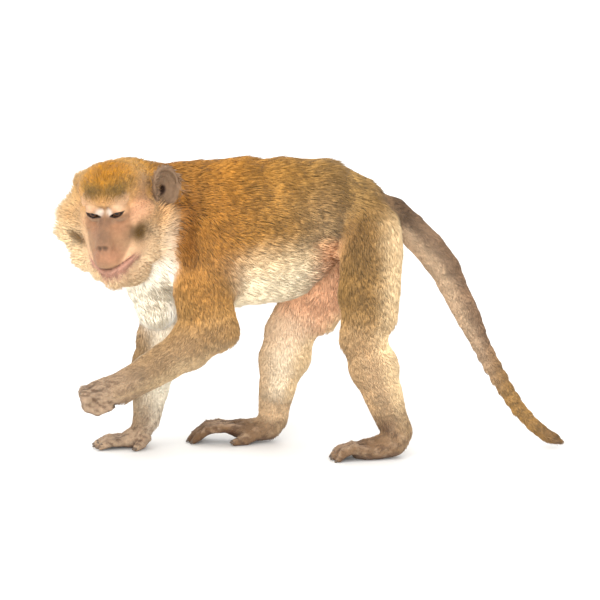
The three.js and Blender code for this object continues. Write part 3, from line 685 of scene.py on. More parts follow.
def mask_near(*spots):
    """A test for points within a distance of any of the spots, given in the head's own frame."""
    def wanted(p):
        local = np.stack(to_head(*p.T), 1)
        return np.any([np.linalg.norm(local - at, axis=1) < reach for at, reach in spots], axis=0)
    return wanted


EYES = [np.array([EYE["forward"], s * EYE["apart"] / 2, EYE["up"]]) for s in (1, -1)]
EARS = [ear_frame(sign)[1] for sign in (1, -1)]
for spots in (
    [((62, 0, -14), 40)] + [((e[0] + 6, e[1], e[2]), 16) for e in EYES] + [(tuple(e), 27) for e in EARS],
    [((e[0] + 6, e[1], e[2]), 11) for e in EYES] + [((88, 0, -20), 12)],
):
    before = len(skin_points)
    skin_points, skin_faces = finer(skin_points, skin_faces, mask_near(*spots))
    skin_points[before:] = drawn_on(skin_points[before:], 0.5, rounds=3)

# ---------------------------------------------------------------------------------------------------------
# The markings, which skin and fur share: golden brown above, cream below and inside the limbs, grey-brown on
# the lower limbs and tail, an orange cap, and a bare pink-brown face framed by cream whiskers.


def colour(code):
    """A colour written as red, green and blue in hexadecimal, as light."""
    c = np.array([int(code[i:i + 2], 16) / 255 for i in (0, 2, 4)])
    return np.where(c <= 0.04045, c / 12.92, ((c + 0.055) / 1.055) ** 2.4)


# For each part: colour outside, colour inside or below, and its tufts' length and width in mm, their lift
# from the skin in degrees, and how many grow to a square centimetre.
LOOKS = {
    "chest": ("b27b2a", "fbe6c0", 22.0, 1.4, 17.0, 76.0),
    "abdomen": ("a17a3c", "f8dfb4", 22.0, 1.4, 17.0, 76.0),
    "pelvis": ("977241", "f2d0a0", 20.0, 1.4, 17.0, 80.0),
    "neck": ("9a6719", "fbe3b6", 22.0, 1.4, 18.0, 80.0),
    # The brisket is near white, paler than its cream, as painted light against the shade under the head and
    # arms.
    "brisket": ("fffaee", "fffaee", 20.0, 1.4, 12.0, 76.0),
    "upper_arm": ("ba8a46", "fff0d8", 15.0, 1.2, 15.0, 92.0),
    "forearm": ("ad8d66", "fff2da", 10.0, 1.0, 14.0, 110.0),
    "thigh": ("a8824c", "f4c49c", 15.0, 1.2, 15.0, 86.0),
    "shank": ("caa981", "fdeacc", 10.0, 1.0, 14.0, 100.0),
    "hand": ("a88e74", "947859", 4.5, 0.7, 12.0, 50.0),
    "foot": ("7c5f43", "64462a", 4.5, 0.7, 12.0, 46.0),
    "crown": ("dba548", "e4bd84", 13.0, 1.0, 16.0, 130.0),
    "brow": ("caa27c", "caa27c", 5.0, 0.7, 14.0, 130.0),
    "face": ("cb9b72", "cb9b72", 3.0, 0.4, 14.0, 60.0),
    "muzzle": ("d2a27c", "d2a27c", 2.5, 0.35, 14.0, 40.0),
    "nose": ("b78c6e", "b78c6e", 2.0, 0.35, 12.0, 15.0),
    "cheek": ("dab184", "dab184", 6.0, 0.7, 16.0, 120.0),
    "jaw": ("ecca9c", "ecca9c", 9.0, 0.8, 20.0, 130.0),
    "ruff": ("f8dcae", "f8dcae", 26.0, 1.1, 36.0, 120.0),
    "temple": ("dab981", "dab981", 19.0, 1.0, 28.0, 120.0),
    "chin": ("f4d6aa", "f4d6aa", 19.0, 0.8, 26.0, 130.0),
    # The throat is near white, paler than its cream, as painted light against the shade under the head.
    "throat": ("fff4de", "fff4de", 22.0, 1.2, 24.0, 90.0),
    "tail": ("9a7d62", "c0a385", 9.0, 0.9, 12.0, 120.0),
}


def look_of(part):
    return LOOKS.get(part) or LOOKS[part.rsplit("_", 1)[0]]


def unit(v):
    return v / np.maximum(np.linalg.norm(v, axis=-1, keepdims=True), 1e-9)


def lie_of(m):
    """The way that fur lies over a mass: back along the body, down the limbs and out from the nose."""
    along = unit(m.ends[1] - m.ends[0])
    leaning = {
        "chest": (1, 0, -0.2), "abdomen": (1, 0, -0.25), "pelvis": (1, 0, -0.35), "neck": (0.9, 0.05, -0.5),
        "brisket": (0.25, 0, -1),
    }
    if m.part in leaning:
        return unit(np.array(leaning[m.part], float))
    return unit(along + np.array([0.3, 0, -0.15])) if m.part[:3] in ("upp", "thi", "for", "sha") else along


# How much each mass has to say at each point of the skin.
nearness = np.full((len(skin_points), len(every_mass)), FAR, np.float32)
for column, m in enumerate(every_mass):
    near = np.all((skin_points > m.low) & (skin_points < m.high), axis=1)
    nearness[near, column] = m.distance(*skin_points[near].T)
owner = nearness.argmin(1)
say = np.exp(-(nearness - nearness.min(1, keepdims=True)) / 7.0)
say /= say.sum(1, keepdims=True)
outer, inner = (say @ np.array([colour(look_of(m.part)[n]) for m in every_mass]) for n in (0, 1))
length, width, lift, density = (
    say @ np.array([look_of(m.part)[n] for m in every_mass]) for n in (2, 3, 4, 5)
)
lie = say @ np.array([lie_of(m) for m in every_mass])
headness = say @ np.array([float(m.of_head) for m in every_mass])


def share_of(*parts):
    """How much of each point of the skin belongs to parts whose names begin like this."""
    return say @ np.array([float(m.part.startswith(parts)) for m in every_mass])


normals = np.zeros_like(skin_points)
a, b, c = (skin_points[skin_faces[:, n]] for n in range(3))
facing = np.cross(b - a, c - a)
for n in range(3):
    np.add.at(normals, skin_faces[:, n], facing)
normals = unit(normals)

px, py, pz = skin_points.T
nx, ny, nz = normals.T
hx, hy, hz = to_head(px, py, pz)


def blob(spot, size, mirrored=True):
    """1 at a spot of the head, fading out over its size, on both sides alike."""
    side = np.abs(hy) if mirrored else hy
    away = sum(((at - middle) / reach) ** 2 for at, middle, reach in zip((hx, side, hz), spot, size))
    return np.exp(-(away**1.5))


hue = outer.copy()


def paint(code, mask):
    hue[:] += (colour(code) - hue) * np.clip(mask, 0, 1)[:, None]


def wave(points, size, seed):
    """Smooth noise from -1 to 1, about size mm from one crest to the next."""
    draw = np.random.default_rng(seed)
    total = np.zeros(len(points))
    for _ in range(6):
        direction = unit(draw.normal(size=3))
        pace = 2 * math.pi / size * draw.uniform(0.7, 1.4)
        total += np.sin(points @ direction * pace + draw.uniform(0, 6.3))
    return total / 3.0


# Paler below the flanks and inside the limbs, warmer in the groin, greyer towards hands and feet.
trunk_share = share_of("chest", "abdomen", "pelvis", "neck")
under_line = 268 + 0.14 * (px + 60) - 4 * share_of("chest")
under = soft(pz, under_line, under_line - 44) * trunk_share
hue += (inner - hue) * np.clip(under, 0, 1)[:, None]
paint("faeaca", soft(pz, under_line - 34, under_line - 60) * share_of("abdomen", "chest", "pelvis"))
limb_share = share_of("upper_arm", "forearm", "thigh", "shank")
outwards = np.where(py < 0, -ny, ny)
inside = soft(outwards, 0.15, -0.45) * limb_share
hue += (inner - hue) * np.clip(inside, 0, 1)[:, None]
paint("a98453", soft(nx, -0.3, -0.9) * share_of("upper_arm", "forearm") * 0.6)
paint("94703e", soft(nx, 0.05, -0.6) * share_of("upper_arm_right", "forearm_right")
      * soft(pz, 50, 90) * soft(pz, 190, 155) * 0.8)
# Painted light: the back of the right forearm painted near white, to lift the shade that the near arm casts
# on it.
paint("fff6e2", soft(nx, -0.2, 0.5) * share_of("forearm_right"))
paint("83612f", soft(px, 84, 60) * share_of("thigh_left", "pelvis")
      * soft(py, -20, -45) * soft(pz, 150, 230) * 0.7)
paint("754e1c", bump_at(px, py, pz, (42, -48, 274), 22) * 0.8)
paint("bc9a6c", bump_at(px, py, pz, (8, -54, 272), 28) * 0.6)
paint("cf9440", bump_at(px, py, pz, (-70, -62, 252), 34) * 0.15)
paint("ecd0a4", soft(nx, -0.1, 0.6) * share_of("thigh", "shank", "pelvis") * soft(pz, 300, 262))
paint("c09c70", soft(nx, -0.2, -0.9) * share_of("shank") * 0.7)
paint("f4b684", soft(px, -12, 20) * soft(px, 60, 44) * soft(pz, 268, 246)
      * share_of("abdomen", "pelvis", "chest") * 0.8)
paint("ecb890", soft(outwards, -0.1, -0.6) * share_of("thigh") * soft(pz, 150, 175) * 0.8)
paint("b08c62", soft(pz, 46, 26) * share_of("shank") * 0.8)
paint("a8875f", soft(pz, 104, 86) * share_of("forearm_left") * 0.6)
paint("ecd0a4", soft(nz, 0.1, -0.5) * share_of("forearm_left") * 0.55)
paint("5f4634", soft(nz, -0.35, -0.9) * share_of("hand", "foot") * 0.8)
# Painted shade in the creases where a digit meets the next.
groups = sorted({m.digit for m in every_mass if m.digit})
to_digit = np.stack([nearness[:, [m.digit == g for m in every_mass]].min(1) for g in groups], 1)
nearest_two = np.sort(to_digit, axis=1)[:, :2]
crease = soft(nearest_two[:, 1] - nearest_two[:, 0], 2.6, 0.5) * soft(nearest_two[:, 0], 6.0, 2.0)
paint("3f2c1e", crease * 0.85)
# Painted shade in the hollow between the curled fingers and the palm, and in the fold by the thumb.
for fold in (FIST_HOLLOW, THUMB_FOLD):
    paint("3a2618", soft(line_to(px, py, pz, *fold), 3.2, 1.2) * share_of("hand_left") * 0.9)
# Painted highlight: the upward-facing tops of the toes lighter, away from the creases.
paint("c4a88c", soft(nz, 0.3, 0.9) * soft(nearest_two[:, 0], 3.0, 1.0) * share_of("foot")
      * (1 - crease) * 0.4)
paint("dcbb92", soft(pz, 24, 36) * share_of("foot_right", "shank_right") * soft(pz, 60, 46) * 0.8)
paint("b6966e", soft(pz, 24, 42) * share_of("foot_left") * 0.7)
paint("6b4e36", bump_at(px, py, pz, (92, -60, 40), 14) * share_of("foot_left", "shank_left") * 0.9)
paint("5c3d1e", soft(px, -92, -112) * share_of("foot_right") * 0.6)
paint("4a2c12", bump_at(px, py, pz, (-78, 38, 12), 14) * share_of("foot_right") * soft(nz, 0.5, -0.2))
mottle = share_of("hand", "foot") * (1 - crease)
paint("5a4230", soft(wave(skin_points, 9, 21) + 0.5 * wave(skin_points, 4, 22), 0.1, 0.9) * mottle * 0.75)
paint("c0a384", soft(wave(skin_points, 11, 23) + 0.4 * wave(skin_points, 4, 24), 0.3, 1.2) * mottle * 0.4)
# How far along its digit each point lies, for the folds that ring the digits.
digit_of = to_digit.argmin(1)
ringed = soft(nearest_two[:, 0], 2.0, 0.6)
along_digit = np.zeros(len(skin_points))
for number, group in enumerate(groups):
    bones = [m for m in every_mass if m.digit == group]
    way_out = unit(bones[-1].end - bones[0].start)
    mine = digit_of == number
    along_digit[mine] = (skin_points[mine] - bones[0].start) @ way_out
# The rump is greyer, the withers and shoulders more golden.
paint("a5844f", soft(px, 0, 60) * share_of("abdomen", "pelvis") * (1 - under) * 0.6)
paint("b87c2c", soft(px, -60, -110) * share_of("chest", "upper_arm") * (1 - under) * soft(pz, 170, 250) * 0.7)
paint("85500a", soft(px, -116, -134) * share_of("chest", "neck", "upper_arm") * soft(pz, 205, 262) * 0.9)
# The tail: dark above at its root, pale below, and darker again towards its end.
tail_share = share_of("tail")
tail_up = np.clip(nz * 0.7 + nx * 0.7, -1, 1)
paint("58422f", tail_share * soft(tail_up, -0.8, -0.1) * soft(px, 146, 114))
paint("cbae8e", tail_share * soft(tail_up, 0.3, -0.4) * soft(px, 250, 170))
paint("a37c42", tail_share * soft(px, 205, 245) * 0.9)
paint("80613c", tail_share * soft(px, 255, 300))
paint("84664c", tail_share * soft(nx, 0.2, 0.8) * soft(px, 260, 200) * 0.7)
# The head.
# Painted light: the chest under the head painted near white, paler than its cream, to lift the shade of the
# head and arms.
paint("fffdf6", soft(px, -138, -156) * soft(pz, 246, 222) * share_of("brisket", "chest", "neck", "throat"))
paint("fff5e0", soft(px, -144, -160) * soft(pz, 294, 272) * share_of("neck", "brisket", "chest")
      * soft(ny, 0.9, 0.5))
paint("c98a1c", blob((34, 0, 42), (30, 25, 22)))
paint("7c5e28", blob((46, 12, 32), (16, 19, 6.5)) * 0.95)
paint("ba8d60", blob((24, 34, 20), (22, 11, 15)) * 0.85)
paint("cfa067", blob((24, 46, -14), (14, 14, 16)) * 0.7)
paint("ad7c38", soft(hx, 6, -8) * soft(hy, 34, 48) * soft(hz, -60, -46)
      * share_of("ruff", "neck", "throat") * 0.85)
paint("d69e78", blob((58, 14, 0), (20, 16, 16)) * share_of("face", "brow", "cheek", "nose", "muzzle"))
paint("d9b08a", blob((55, 22, 22), (12, 12, 6)) * 0.8)
paint("d6a07a", blob((38, 31, 4), (20, 14, 14), False) * 0.85)
paint("ecc9ac", blob((57, EYE["apart"] / 2, EYE["up"] - 7), (9, 9, 3.5)) * 0.8)
paint("9c765c", blob((62, 3, 4), (9, 6, 5)) * 0.9)
paint("a07a5e", blob((72, 0, -7), (14, 9, 8)) * 0.9)
paint("dea07c", blob((84, 6, -27), (14, 15, 11)) * 0.8)
lip = np.abs(hz - mouth_height(hy) + 4.8)
paint("b98573", soft(lip, 8.0, 5.2) * soft(hx, 50, 60)
      * soft(np.abs(hy), MOUTH_HALF + 2, MOUTH_HALF - 6) * 0.85)
paint("5a3d06", blob((50, 31, -18), (15, 12.0, 11.5), False))
paint("6e4a16", blob((44, -41, -29), (16, 14.0, 6.5), False) * 0.9)
# Painted shade: the nostrils near black inside.
paint("1e120c", bump_at(hx, np.abs(hy) * 0.8 + hz * 0.3, hz, NOSTRIL, 2.3) * 1.3)
ear_share = np.zeros(len(skin_points))
canal_share = np.zeros(len(skin_points))
for sign in (1, -1):
    ear, canal, clearing = ear_field(hx, hy, hz, sign)
    ear_share = np.maximum(ear_share, soft(np.abs(ear), 3.2, 1.2))
    canal_share = np.maximum(canal_share, soft(canal, 3.2, 0.4))
paint("9a7c60", ear_share)
# Painted shade: the ear openings darker inside.
paint("4c3222", canal_share)

# Where the skin is bare or nearly so: the face, lips, ears, palms and soles.
round_face = (hy / (31 + 0.2 * np.clip(hz, -35, 10))) ** 2 + ((hz + 12) / 33) ** 2
bare = np.clip(soft(round_face, 1.15, 0.8) * soft(hx, 36, 48) * soft(headness, 0.3, 0.7), 0, 1)
bare_foot = share_of("hand", "foot") * soft(nz, -0.2, -0.6)
length *= 1 - 0.45 * ear_share
density *= (1 - 0.9 * bare) * (1 - 0.75 * ear_share) * (1 - bare_foot)
density *= 1 - np.clip(canal_share * 2, 0, 1)
*on_ear, off_ear = in_ear(hx, hy, hz, 1)
density *= 1 - soft(ear_outline(*on_ear), 1.0, 0.85) * soft(off_ear, -13, -9)
hue *= 1 - np.array([0.46, 0.5, 0.56]) * np.maximum(bare, ear_share * 0.5)[:, None]
paint("e6d6c4", blob((57, 6.0, 13.5), (9, 4.6, 4.2)) * 0.9)
paint("d2a888", blob((57, 16.0, 18.0), (9, 8.0, 3.4)) * 0.5)
for e in EYES:
    rim_of_lids = lid_slit((hy - e[1]) * np.sign(e[1]), hz - e[2])
    ahead = soft(hx, e[0] + 3, e[0] + 6)
    paint("2c1a10", soft(rim_of_lids, 1.5, 0.5) * ahead * soft(np.abs(hy - e[1]), 12, 9))
density *= soft(pz, 0.3, 1.2) * (1 - 0.8 * soft(nearest_two[:, 0], 3.0, 1.0))
for e in EYES:
    gap = np.sqrt((hx - e[0]) ** 2 + (hy - e[1]) ** 2 + (hz - e[2]) ** 2)
    density *= soft(gap, 11.5, 14.0)
# Fur over the ruffs and the nape stands further out.
outer_ruff = blob((14, 66, -30), (26, 18, 30)) * share_of("ruff")
length += 6 * outer_ruff * (hy < 0)
length *= 1 - 0.4 * soft(hy, 30, 48) * share_of("ruff", "temple", "jaw")
lift += 6 * outer_ruff
by_face = headness * soft(np.abs(hy), 46, 30) * soft(hz, 26, 16) * soft(hx, 10, 24) * (1 - share_of("chin"))
length *= 1 - 0.55 * by_face
lift *= 1 - 0.4 * by_face
lie_head = np.stack([hx - 84, hy * 1.3, (hz + 22) * 0.6], 1)
lie_head = unit(lie_head) @ HEAD_AXES.T
lie = unit(lie * (1 - headness[:, None]) + lie_head * headness[:, None])


class Wire:
    """A node's socket. Arithmetic on it adds the Math nodes that do it."""

    def __init__(self, finish, socket):
        self.finish, self.socket = finish, socket

    def sum_of(self, operation, first, second):
        return self.finish.node("ShaderNodeMath", {"operation": operation}, {0: first, 1: second})

    def __add__(self, other): return self.sum_of("ADD", self, other)
    def __radd__(self, other): return self.sum_of("ADD", other, self)
    def __sub__(self, other): return self.sum_of("SUBTRACT", self, other)
    def __rsub__(self, other): return self.sum_of("SUBTRACT", other, self)
    def __mul__(self, other): return self.sum_of("MULTIPLY", self, other)
    def __rmul__(self, other): return self.sum_of("MULTIPLY", other, self)
    def __gt__(self, other): return self.sum_of("GREATER_THAN", self, other)


class Finish:
    """A material and the one way of adding a node to it."""

    def __init__(self, name, **fixed):
        self.material = bpy.data.materials.new(name)
        self.material.use_nodes = True
        self.tree = self.material.node_tree
        self.shader = self.tree.nodes["Principled BSDF"]
        for socket, value in fixed.items():
            self.shader.inputs[socket.replace("_", " ")].default_value = value

    def node(self, kind, settings=None, inputs=None, output=0):
        node = self.tree.nodes.new(kind)
        for name, value in (settings or {}).items():
            if name == "stops":
                for n, (at, shade) in enumerate(value):
                    stop = node.color_ramp.elements[n] if n < 2 else node.color_ramp.elements.new(at)
                    stop.position, stop.color = at, (*shade, 1.0)
            else:
                setattr(node, name, value)
        for name, value in (inputs or {}).items():
            self.give(node.inputs[name], value)
        return Wire(self, node.outputs[output])

    def give(self, socket, value):
        if isinstance(value, Wire):
            self.tree.links.new(value.socket, socket)
        else:
            socket.default_value = value

    def attribute(self, name, output="Fac"):
        return self.node("ShaderNodeAttribute", {"attribute_name": name}, output=output)

    def noise(self, scale, detail=3.0, where=None, output="Fac"):
        spots = where or self.node("ShaderNodeTexCoord", output="Object")
        given = {"Vector": spots, "Scale": scale, "Detail": detail}
        return self.node("ShaderNodeTexNoise", {}, given, output)

    def shaded(self, tone, amount):
        """The colour times a number, which may change over the surface."""
        return self.node("ShaderNodeVectorMath", {"operation": "SCALE"}, {0: tone, "Scale": amount})

    def mixed(self, share, first, second):
        return self.node("ShaderNodeMix", {"data_type": "RGBA"}, {0: share, 6: first, 7: second}, output=2)

    def onto(self, **sockets):
        for name, value in sockets.items():
            self.give(self.shader.inputs[name.replace("_", " ")], value)
        return self.material

    def bumped(self, height, strength, depth):
        given = {"Height": height, "Strength": strength, "Distance": depth}
        return self.node("ShaderNodeBump", {}, given, "Normal")


def array_mesh(name, points, triangles, numbers=None, colours=None):
    """A mesh of triangles from arrays, in metres, with named values and colours at its points."""
    mesh = bpy.data.meshes.new(name)
    mesh.vertices.add(len(points))
    mesh.vertices.foreach_set("co", np.asarray(points, np.float32).ravel())
    mesh.loops.add(len(triangles) * 3)
    mesh.loops.foreach_set("vertex_index", np.asarray(triangles, np.int32).ravel())
    mesh.polygons.add(len(triangles))
    mesh.polygons.foreach_set("loop_start", np.arange(len(triangles), dtype=np.int32) * 3)
    mesh.polygons.foreach_set("use_smooth", np.ones(len(triangles), bool))
    for key, values in (numbers or {}).items():
        mesh.attributes.new(key, "FLOAT", "POINT").data.foreach_set("value", np.asarray(values, np.float32))
    for key, values in (colours or {}).items():
        four = np.concatenate([values, np.ones((len(values), 1))], 1).astype(np.float32)
        mesh.attributes.new(key, "FLOAT_COLOR", "POINT").data.foreach_set("color", four.ravel())
    mesh.update()
    piece = bpy.data.objects.new(name, mesh)
    bpy.context.scene.collection.objects.link(piece)
    return piece


skin = array_mesh(
    "skin", on_frame(skin_points), skin_faces,
    {"bare": np.maximum(bare, ear_share), "along digit": along_digit, "ringed": ringed}, {"hue": hue},
)
hide = Finish("skin", Subsurface_Weight=0.12, Subsurface_Scale=0.004, Specular_IOR_Level=0.4)
hide.shader.inputs["Subsurface Radius"].default_value = (1.0, 0.45, 0.3)
tone = hide.attribute("hue", "Color")
blotch = hide.noise(60.0) * 0.6 + hide.noise(260.0) * 0.6
bare_skin = hide.attribute("bare")
creases = hide.node("ShaderNodeTexVoronoi", {}, {"Scale": 700.0}, "Distance")
pores = hide.noise(1400.0, 2.0)
out_to = hide.attribute("along digit") * 3.6 + hide.noise(300.0) * 5.0
rings = hide.node("ShaderNodeMath", {"operation": "SINE"}, {0: out_to})
rings = rings * hide.attribute("ringed")
hide.onto(
    Base_Color=hide.shaded(tone, blotch * 0.9 + 0.42 + rings * 0.07),
    Roughness=0.72 - bare_skin * 0.22,
    Normal=hide.bumped(creases * 0.6 + pores * 0.6 + rings * 0.35 + hide.noise(260.0, 4.0), 0.8, 0.0009),
)
skin.data.materials.append(hide.material)
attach(skin, "root")
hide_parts(*[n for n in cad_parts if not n.startswith("eye")])

# ---------------------------------------------------------------------------------------------------------
# The eyes: balls turned round the line of sight, with the cornea standing out, brown to the edge of the lids.


def eyeball(name, centre, sight, radius):
    rings, sides = 36, 48
    axis = unit(np.asarray(sight, float))
    across = unit(np.cross(axis, (0, 0, 1)))
    over = np.cross(across, axis)
    points, turns = [centre + axis * (radius + 0.9)], [0.0]
    for i in range(1, rings):
        turn = math.pi * i / rings
        r = radius + 0.9 * float(soft(turn, 0.66, 0.2))
        for j in range(sides):
            round_it = 2 * math.pi * j / sides
            out = across * math.cos(round_it) + over * math.sin(round_it)
            points.append(centre + axis * r * math.cos(turn) + out * r * math.sin(turn))
            turns.append(turn)
    points.append(centre - axis * radius)
    turns.append(math.pi)
    faces = [(0, 1 + j, 1 + (j + 1) % sides) for j in range(sides)]
    for i in range(rings - 2):
        for j in range(sides):
            a, b = 1 + i * sides + j, 1 + i * sides + (j + 1) % sides
            faces += [(a, a + sides, b + sides), (a, b + sides, b)]
    last = len(points) - 1
    faces += [(last, last - 1 - j, last - 1 - (j + 1) % sides) for j in range(sides)]
    ball = array_mesh(name, on_frame(np.array(points)), faces, {"turn": turns})
    ball.data.materials.append(eye_finish.material)
    return ball


eye_finish = Finish("eye", Roughness=0.12, Coat_Weight=0.35, Coat_Roughness=0.03, Specular_IOR_Level=0.15)
from_pupil = eye_finish.attribute("turn") * 0.5
rays = eye_finish.noise(900.0, 2.0)
ramp = eye_finish.node("ShaderNodeValToRGB", {"stops": [
    (0.0, (0.004, 0.003, 0.002)), (0.1, (0.005, 0.003, 0.002)), (0.13, tuple(colour("4a2c14"))),
    (0.22, tuple(colour("341d0c"))), (0.28, tuple(colour("180e07"))), (0.34, tuple(colour("4a3425"))),
]}, {0: from_pupil})
eye_finish.onto(Base_Color=eye_finish.shaded(ramp, rays * 0.9 + 0.5))
for side, e in zip(("left", "right"), EYES):
    centre = from_head(e)
    sight = HEAD_AXES @ np.array([1.0, 0.0, 0.12]) + back * 0.5
    ball = eyeball("eyeball_" + side, centre, sight, EYE["radius"])
    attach(ball, "root")
    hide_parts("eye_" + side)

# ---------------------------------------------------------------------------------------------------------
# The nails: a dark horn plate on the end of each digit, arched across it and rooted in the skin.

NAIL_LONG, NAIL_THICK, NAIL_ARCH = 1.5, 0.16, 0.5  # as shares of a nail's width
ALONG, ACROSS = 6, 7


def nail_mesh():
    """One nail a metre wide, pointing along X with its back to Z."""
    points = []
    for face in (0, 1):
        for i in range(ALONG):
            for j in range(ACROSS):
                u, v = i / (ALONG - 1), 2 * j / (ACROSS - 1) - 1
                taper = math.sqrt(1 - 0.75 * max(0.0, (u - 0.6) / 0.4) ** 2)
                arch = NAIL_ARCH * (1 - math.cos(v * taper * 1.1)) + 0.12 * u * u
                points.append(((u - 0.5) * NAIL_LONG, v * 0.5 * taper, -arch - face * NAIL_THICK))
    faces = []
    under = ALONG * ACROSS
    for i in range(ALONG - 1):
        for j in range(ACROSS - 1):
            a, b = i * ACROSS + j, (i + 1) * ACROSS + j
            faces += [(a, b, b + 1, a + 1), (under + a + 1, under + b + 1, under + b, under + a)]
    rim = [j for j in range(ACROSS)] + [i * ACROSS + ACROSS - 1 for i in range(1, ALONG)]
    rim += [(ALONG - 1) * ACROSS + j for j in range(ACROSS - 2, -1, -1)]
    rim += [i * ACROSS for i in range(ALONG - 2, 0, -1)]
    faces += [(a, b, under + b, under + a) for a, b in zip(rim, rim[1:] + rim[:1])]
    return mesh_object("nail", points, faces)


horn = Finish("horn", Roughness=0.38, Specular_IOR_Level=0.5)
horn_tone = horn.mixed(horn.noise(500.0, 2.0), (0.05, 0.03, 0.018, 1.0), (0.14, 0.09, 0.055, 1.0))
horn.onto(Base_Color=horn_tone, Normal=horn.bumped(horn.noise(1800.0, 1.0), 0.3, 0.0003))

ends, turns, widths = [], [], []
for group in groups:
    last = [m for m in every_mass if m.digit == group][-1]
    pointing = unit(last.end - last.start)
    if last.part == "hand_left":
        dorsal = unit(last.end - np.array([-238.0, last.end[1], 77.0]))
    else:
        dorsal = np.array([0.0, 0.0, 1.0])
    dorsal = unit(dorsal - pointing * (dorsal @ pointing))
    radius = last.radii[1]
    ends.append(last.end + pointing * radius * 0.4 + dorsal * radius * 0.86)
    pointing, dorsal = unit(pointing - dorsal * 0.25), unit(dorsal + pointing * 0.25)
    frame_axes = np.column_stack([pointing, np.cross(dorsal, pointing), dorsal])
    turns.append(Matrix(frame_axes.tolist()).to_euler())
    widths.append(radius * 1.6 * MM)

nail = nail_mesh()
carrier = mesh_object("nail places", on_frame(np.array(ends)).tolist(), [])
for key, kind, field, values in (
    ("turn", "FLOAT_VECTOR", "vector", turns), ("wide", "FLOAT", "value", widths),
):
    held = carrier.data.attributes.new(key, kind, "POINT")
    held.data.foreach_set(field, np.array(values, np.float32).ravel())

tree = bpy.data.node_groups.new("nails on digits", "GeometryNodeTree")
tree.interface.new_socket("Places", in_out="INPUT", socket_type="NodeSocketGeometry")
nail_input = tree.interface.new_socket("Nail", in_out="INPUT", socket_type="NodeSocketObject")
size_input = tree.interface.new_socket("Size", in_out="INPUT", socket_type="NodeSocketFloat")
tree.interface.new_socket("Nails", in_out="OUTPUT", socket_type="NodeSocketGeometry")
kinds = {
    "given": "NodeGroupInput", "nail": "GeometryNodeObjectInfo",
    "turn": "GeometryNodeInputNamedAttribute", "wide": "GeometryNodeInputNamedAttribute",
    "turned": "FunctionNodeEulerToRotation", "sized": "ShaderNodeMath",
    "placed": "GeometryNodeInstanceOnPoints", "made": "GeometryNodeRealizeInstances",
    "finished": "GeometryNodeSetMaterial", "out": "NodeGroupOutput",
}
nodes = {name: tree.nodes.new(kind) for name, kind in kinds.items()}
for key, kind in (("turn", "FLOAT_VECTOR"), ("wide", "FLOAT")):
    nodes[key].data_type = kind
    nodes[key].inputs["Name"].default_value = key
nodes["sized"].operation = "MULTIPLY"
nodes["finished"].inputs["Material"].default_value = horn.material
for source, socket, target, into in (
    ("given", "Places", "placed", "Points"), ("given", "Nail", "nail", "Object"),
    ("nail", "Geometry", "placed", "Instance"),
    ("turn", "Attribute", "turned", "Euler"), ("turned", "Rotation", "placed", "Rotation"),
    ("wide", "Attribute", "sized", 0), ("given", "Size", "sized", 1), ("sized", "Value", "placed", "Scale"),
    ("placed", "Instances", "made", "Geometry"), ("made", "Geometry", "finished", "Geometry"),
    ("finished", "Geometry", "out", "Nails"),
):
    tree.links.new(nodes[source].outputs[socket], nodes[target].inputs[into])
grower = carrier.modifiers.new("nails", "NODES")
grower.node_group = tree
grower[nail_input.identifier] = nail
grower[size_input.identifier] = 1.0
grown = carrier.evaluated_get(bpy.context.evaluated_depsgraph_get())
nails = bpy.data.objects.new("nails", bpy.data.meshes.new_from_object(grown))
bpy.context.scene.collection.objects.link(nails)
for spent in (carrier, nail):
    bpy.data.objects.remove(spent)
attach(nails, "root")

# ---------------------------------------------------------------------------------------------------------
# The coat: tufts of hair, each a thin three-sided spike with a root, a bend and a tip. They lie over one
# another along the body, rooted in the skin, and their tips draw together in small locks.

TUFTS = 138000
TUFT_POINTS = 7  # three at its root, three at its bend and its tip
BEND_AT = 0.55  # of the way from root to tip, as the materials and the map have it
ROOT_DEPTH = 0.9  # mm
BEND_CLEAR, TIP_CLEAR = 0.8, 0.5  # mm over the floor
SHORT = 13  # mm, the length below which fur counts as short
LOCKS = (6.0, 3.4)  # mm from one lock to the next, in long fur and in short
TIP_PULL, BEND_PULL = 0.36, 0.06  # how far tip and bend are drawn to the middle of the lock
rng = np.random.default_rng(7)

area = np.linalg.norm(facing, axis=1) / 2
per_face = area * density[skin_faces].mean(1)
chosen = rng.choice(len(skin_faces), TUFTS, p=per_face / per_face.sum())
u, v = rng.random((2, TUFTS))
flip = u + v > 1
u[flip], v[flip] = 1 - u[flip], 1 - v[flip]
weights = np.stack([1 - u - v, u, v], 1)[:, :, None]


def at_roots(values):
    values = values if values.ndim == 2 else values[:, None]
    return (values[skin_faces[chosen]] * weights).sum(1)


roots, out, way = at_roots(skin_points), unit(at_roots(normals)), at_roots(lie)
tint = at_roots(hue)
long, wide, raised = (at_roots(values)[:, 0] for values in (length, width, lift))
side_way = unit(np.cross(out, way))
swing = np.radians(9 * wave(roots, 34, 1) + 9 * wave(roots, 13, 2) + rng.normal(0, 7, TUFTS))
way = way * np.cos(swing)[:, None] + side_way * np.sin(swing)[:, None]
way = unit(way - out * np.sum(way * out, axis=1, keepdims=True))
long = long * rng.uniform(0.72, 1.15, TUFTS) * (1 + 0.10 * wave(roots, 16, 3))
rise = np.radians(raised * rng.uniform(0.75, 1.25, TUFTS) * (1 + 0.15 * wave(roots, 20, 4)))[:, None]
half = (long / 2)[:, None]
bend = roots + (way * np.cos(rise) + out * np.sin(rise)) * half
tip = bend + (way * np.cos(rise * 0.35) + out * np.sin(rise * 0.35)) * half
bend[:, 2] = np.maximum(bend[:, 2], BEND_CLEAR)
tip[:, 2] = np.maximum(tip[:, 2], TIP_CLEAR)

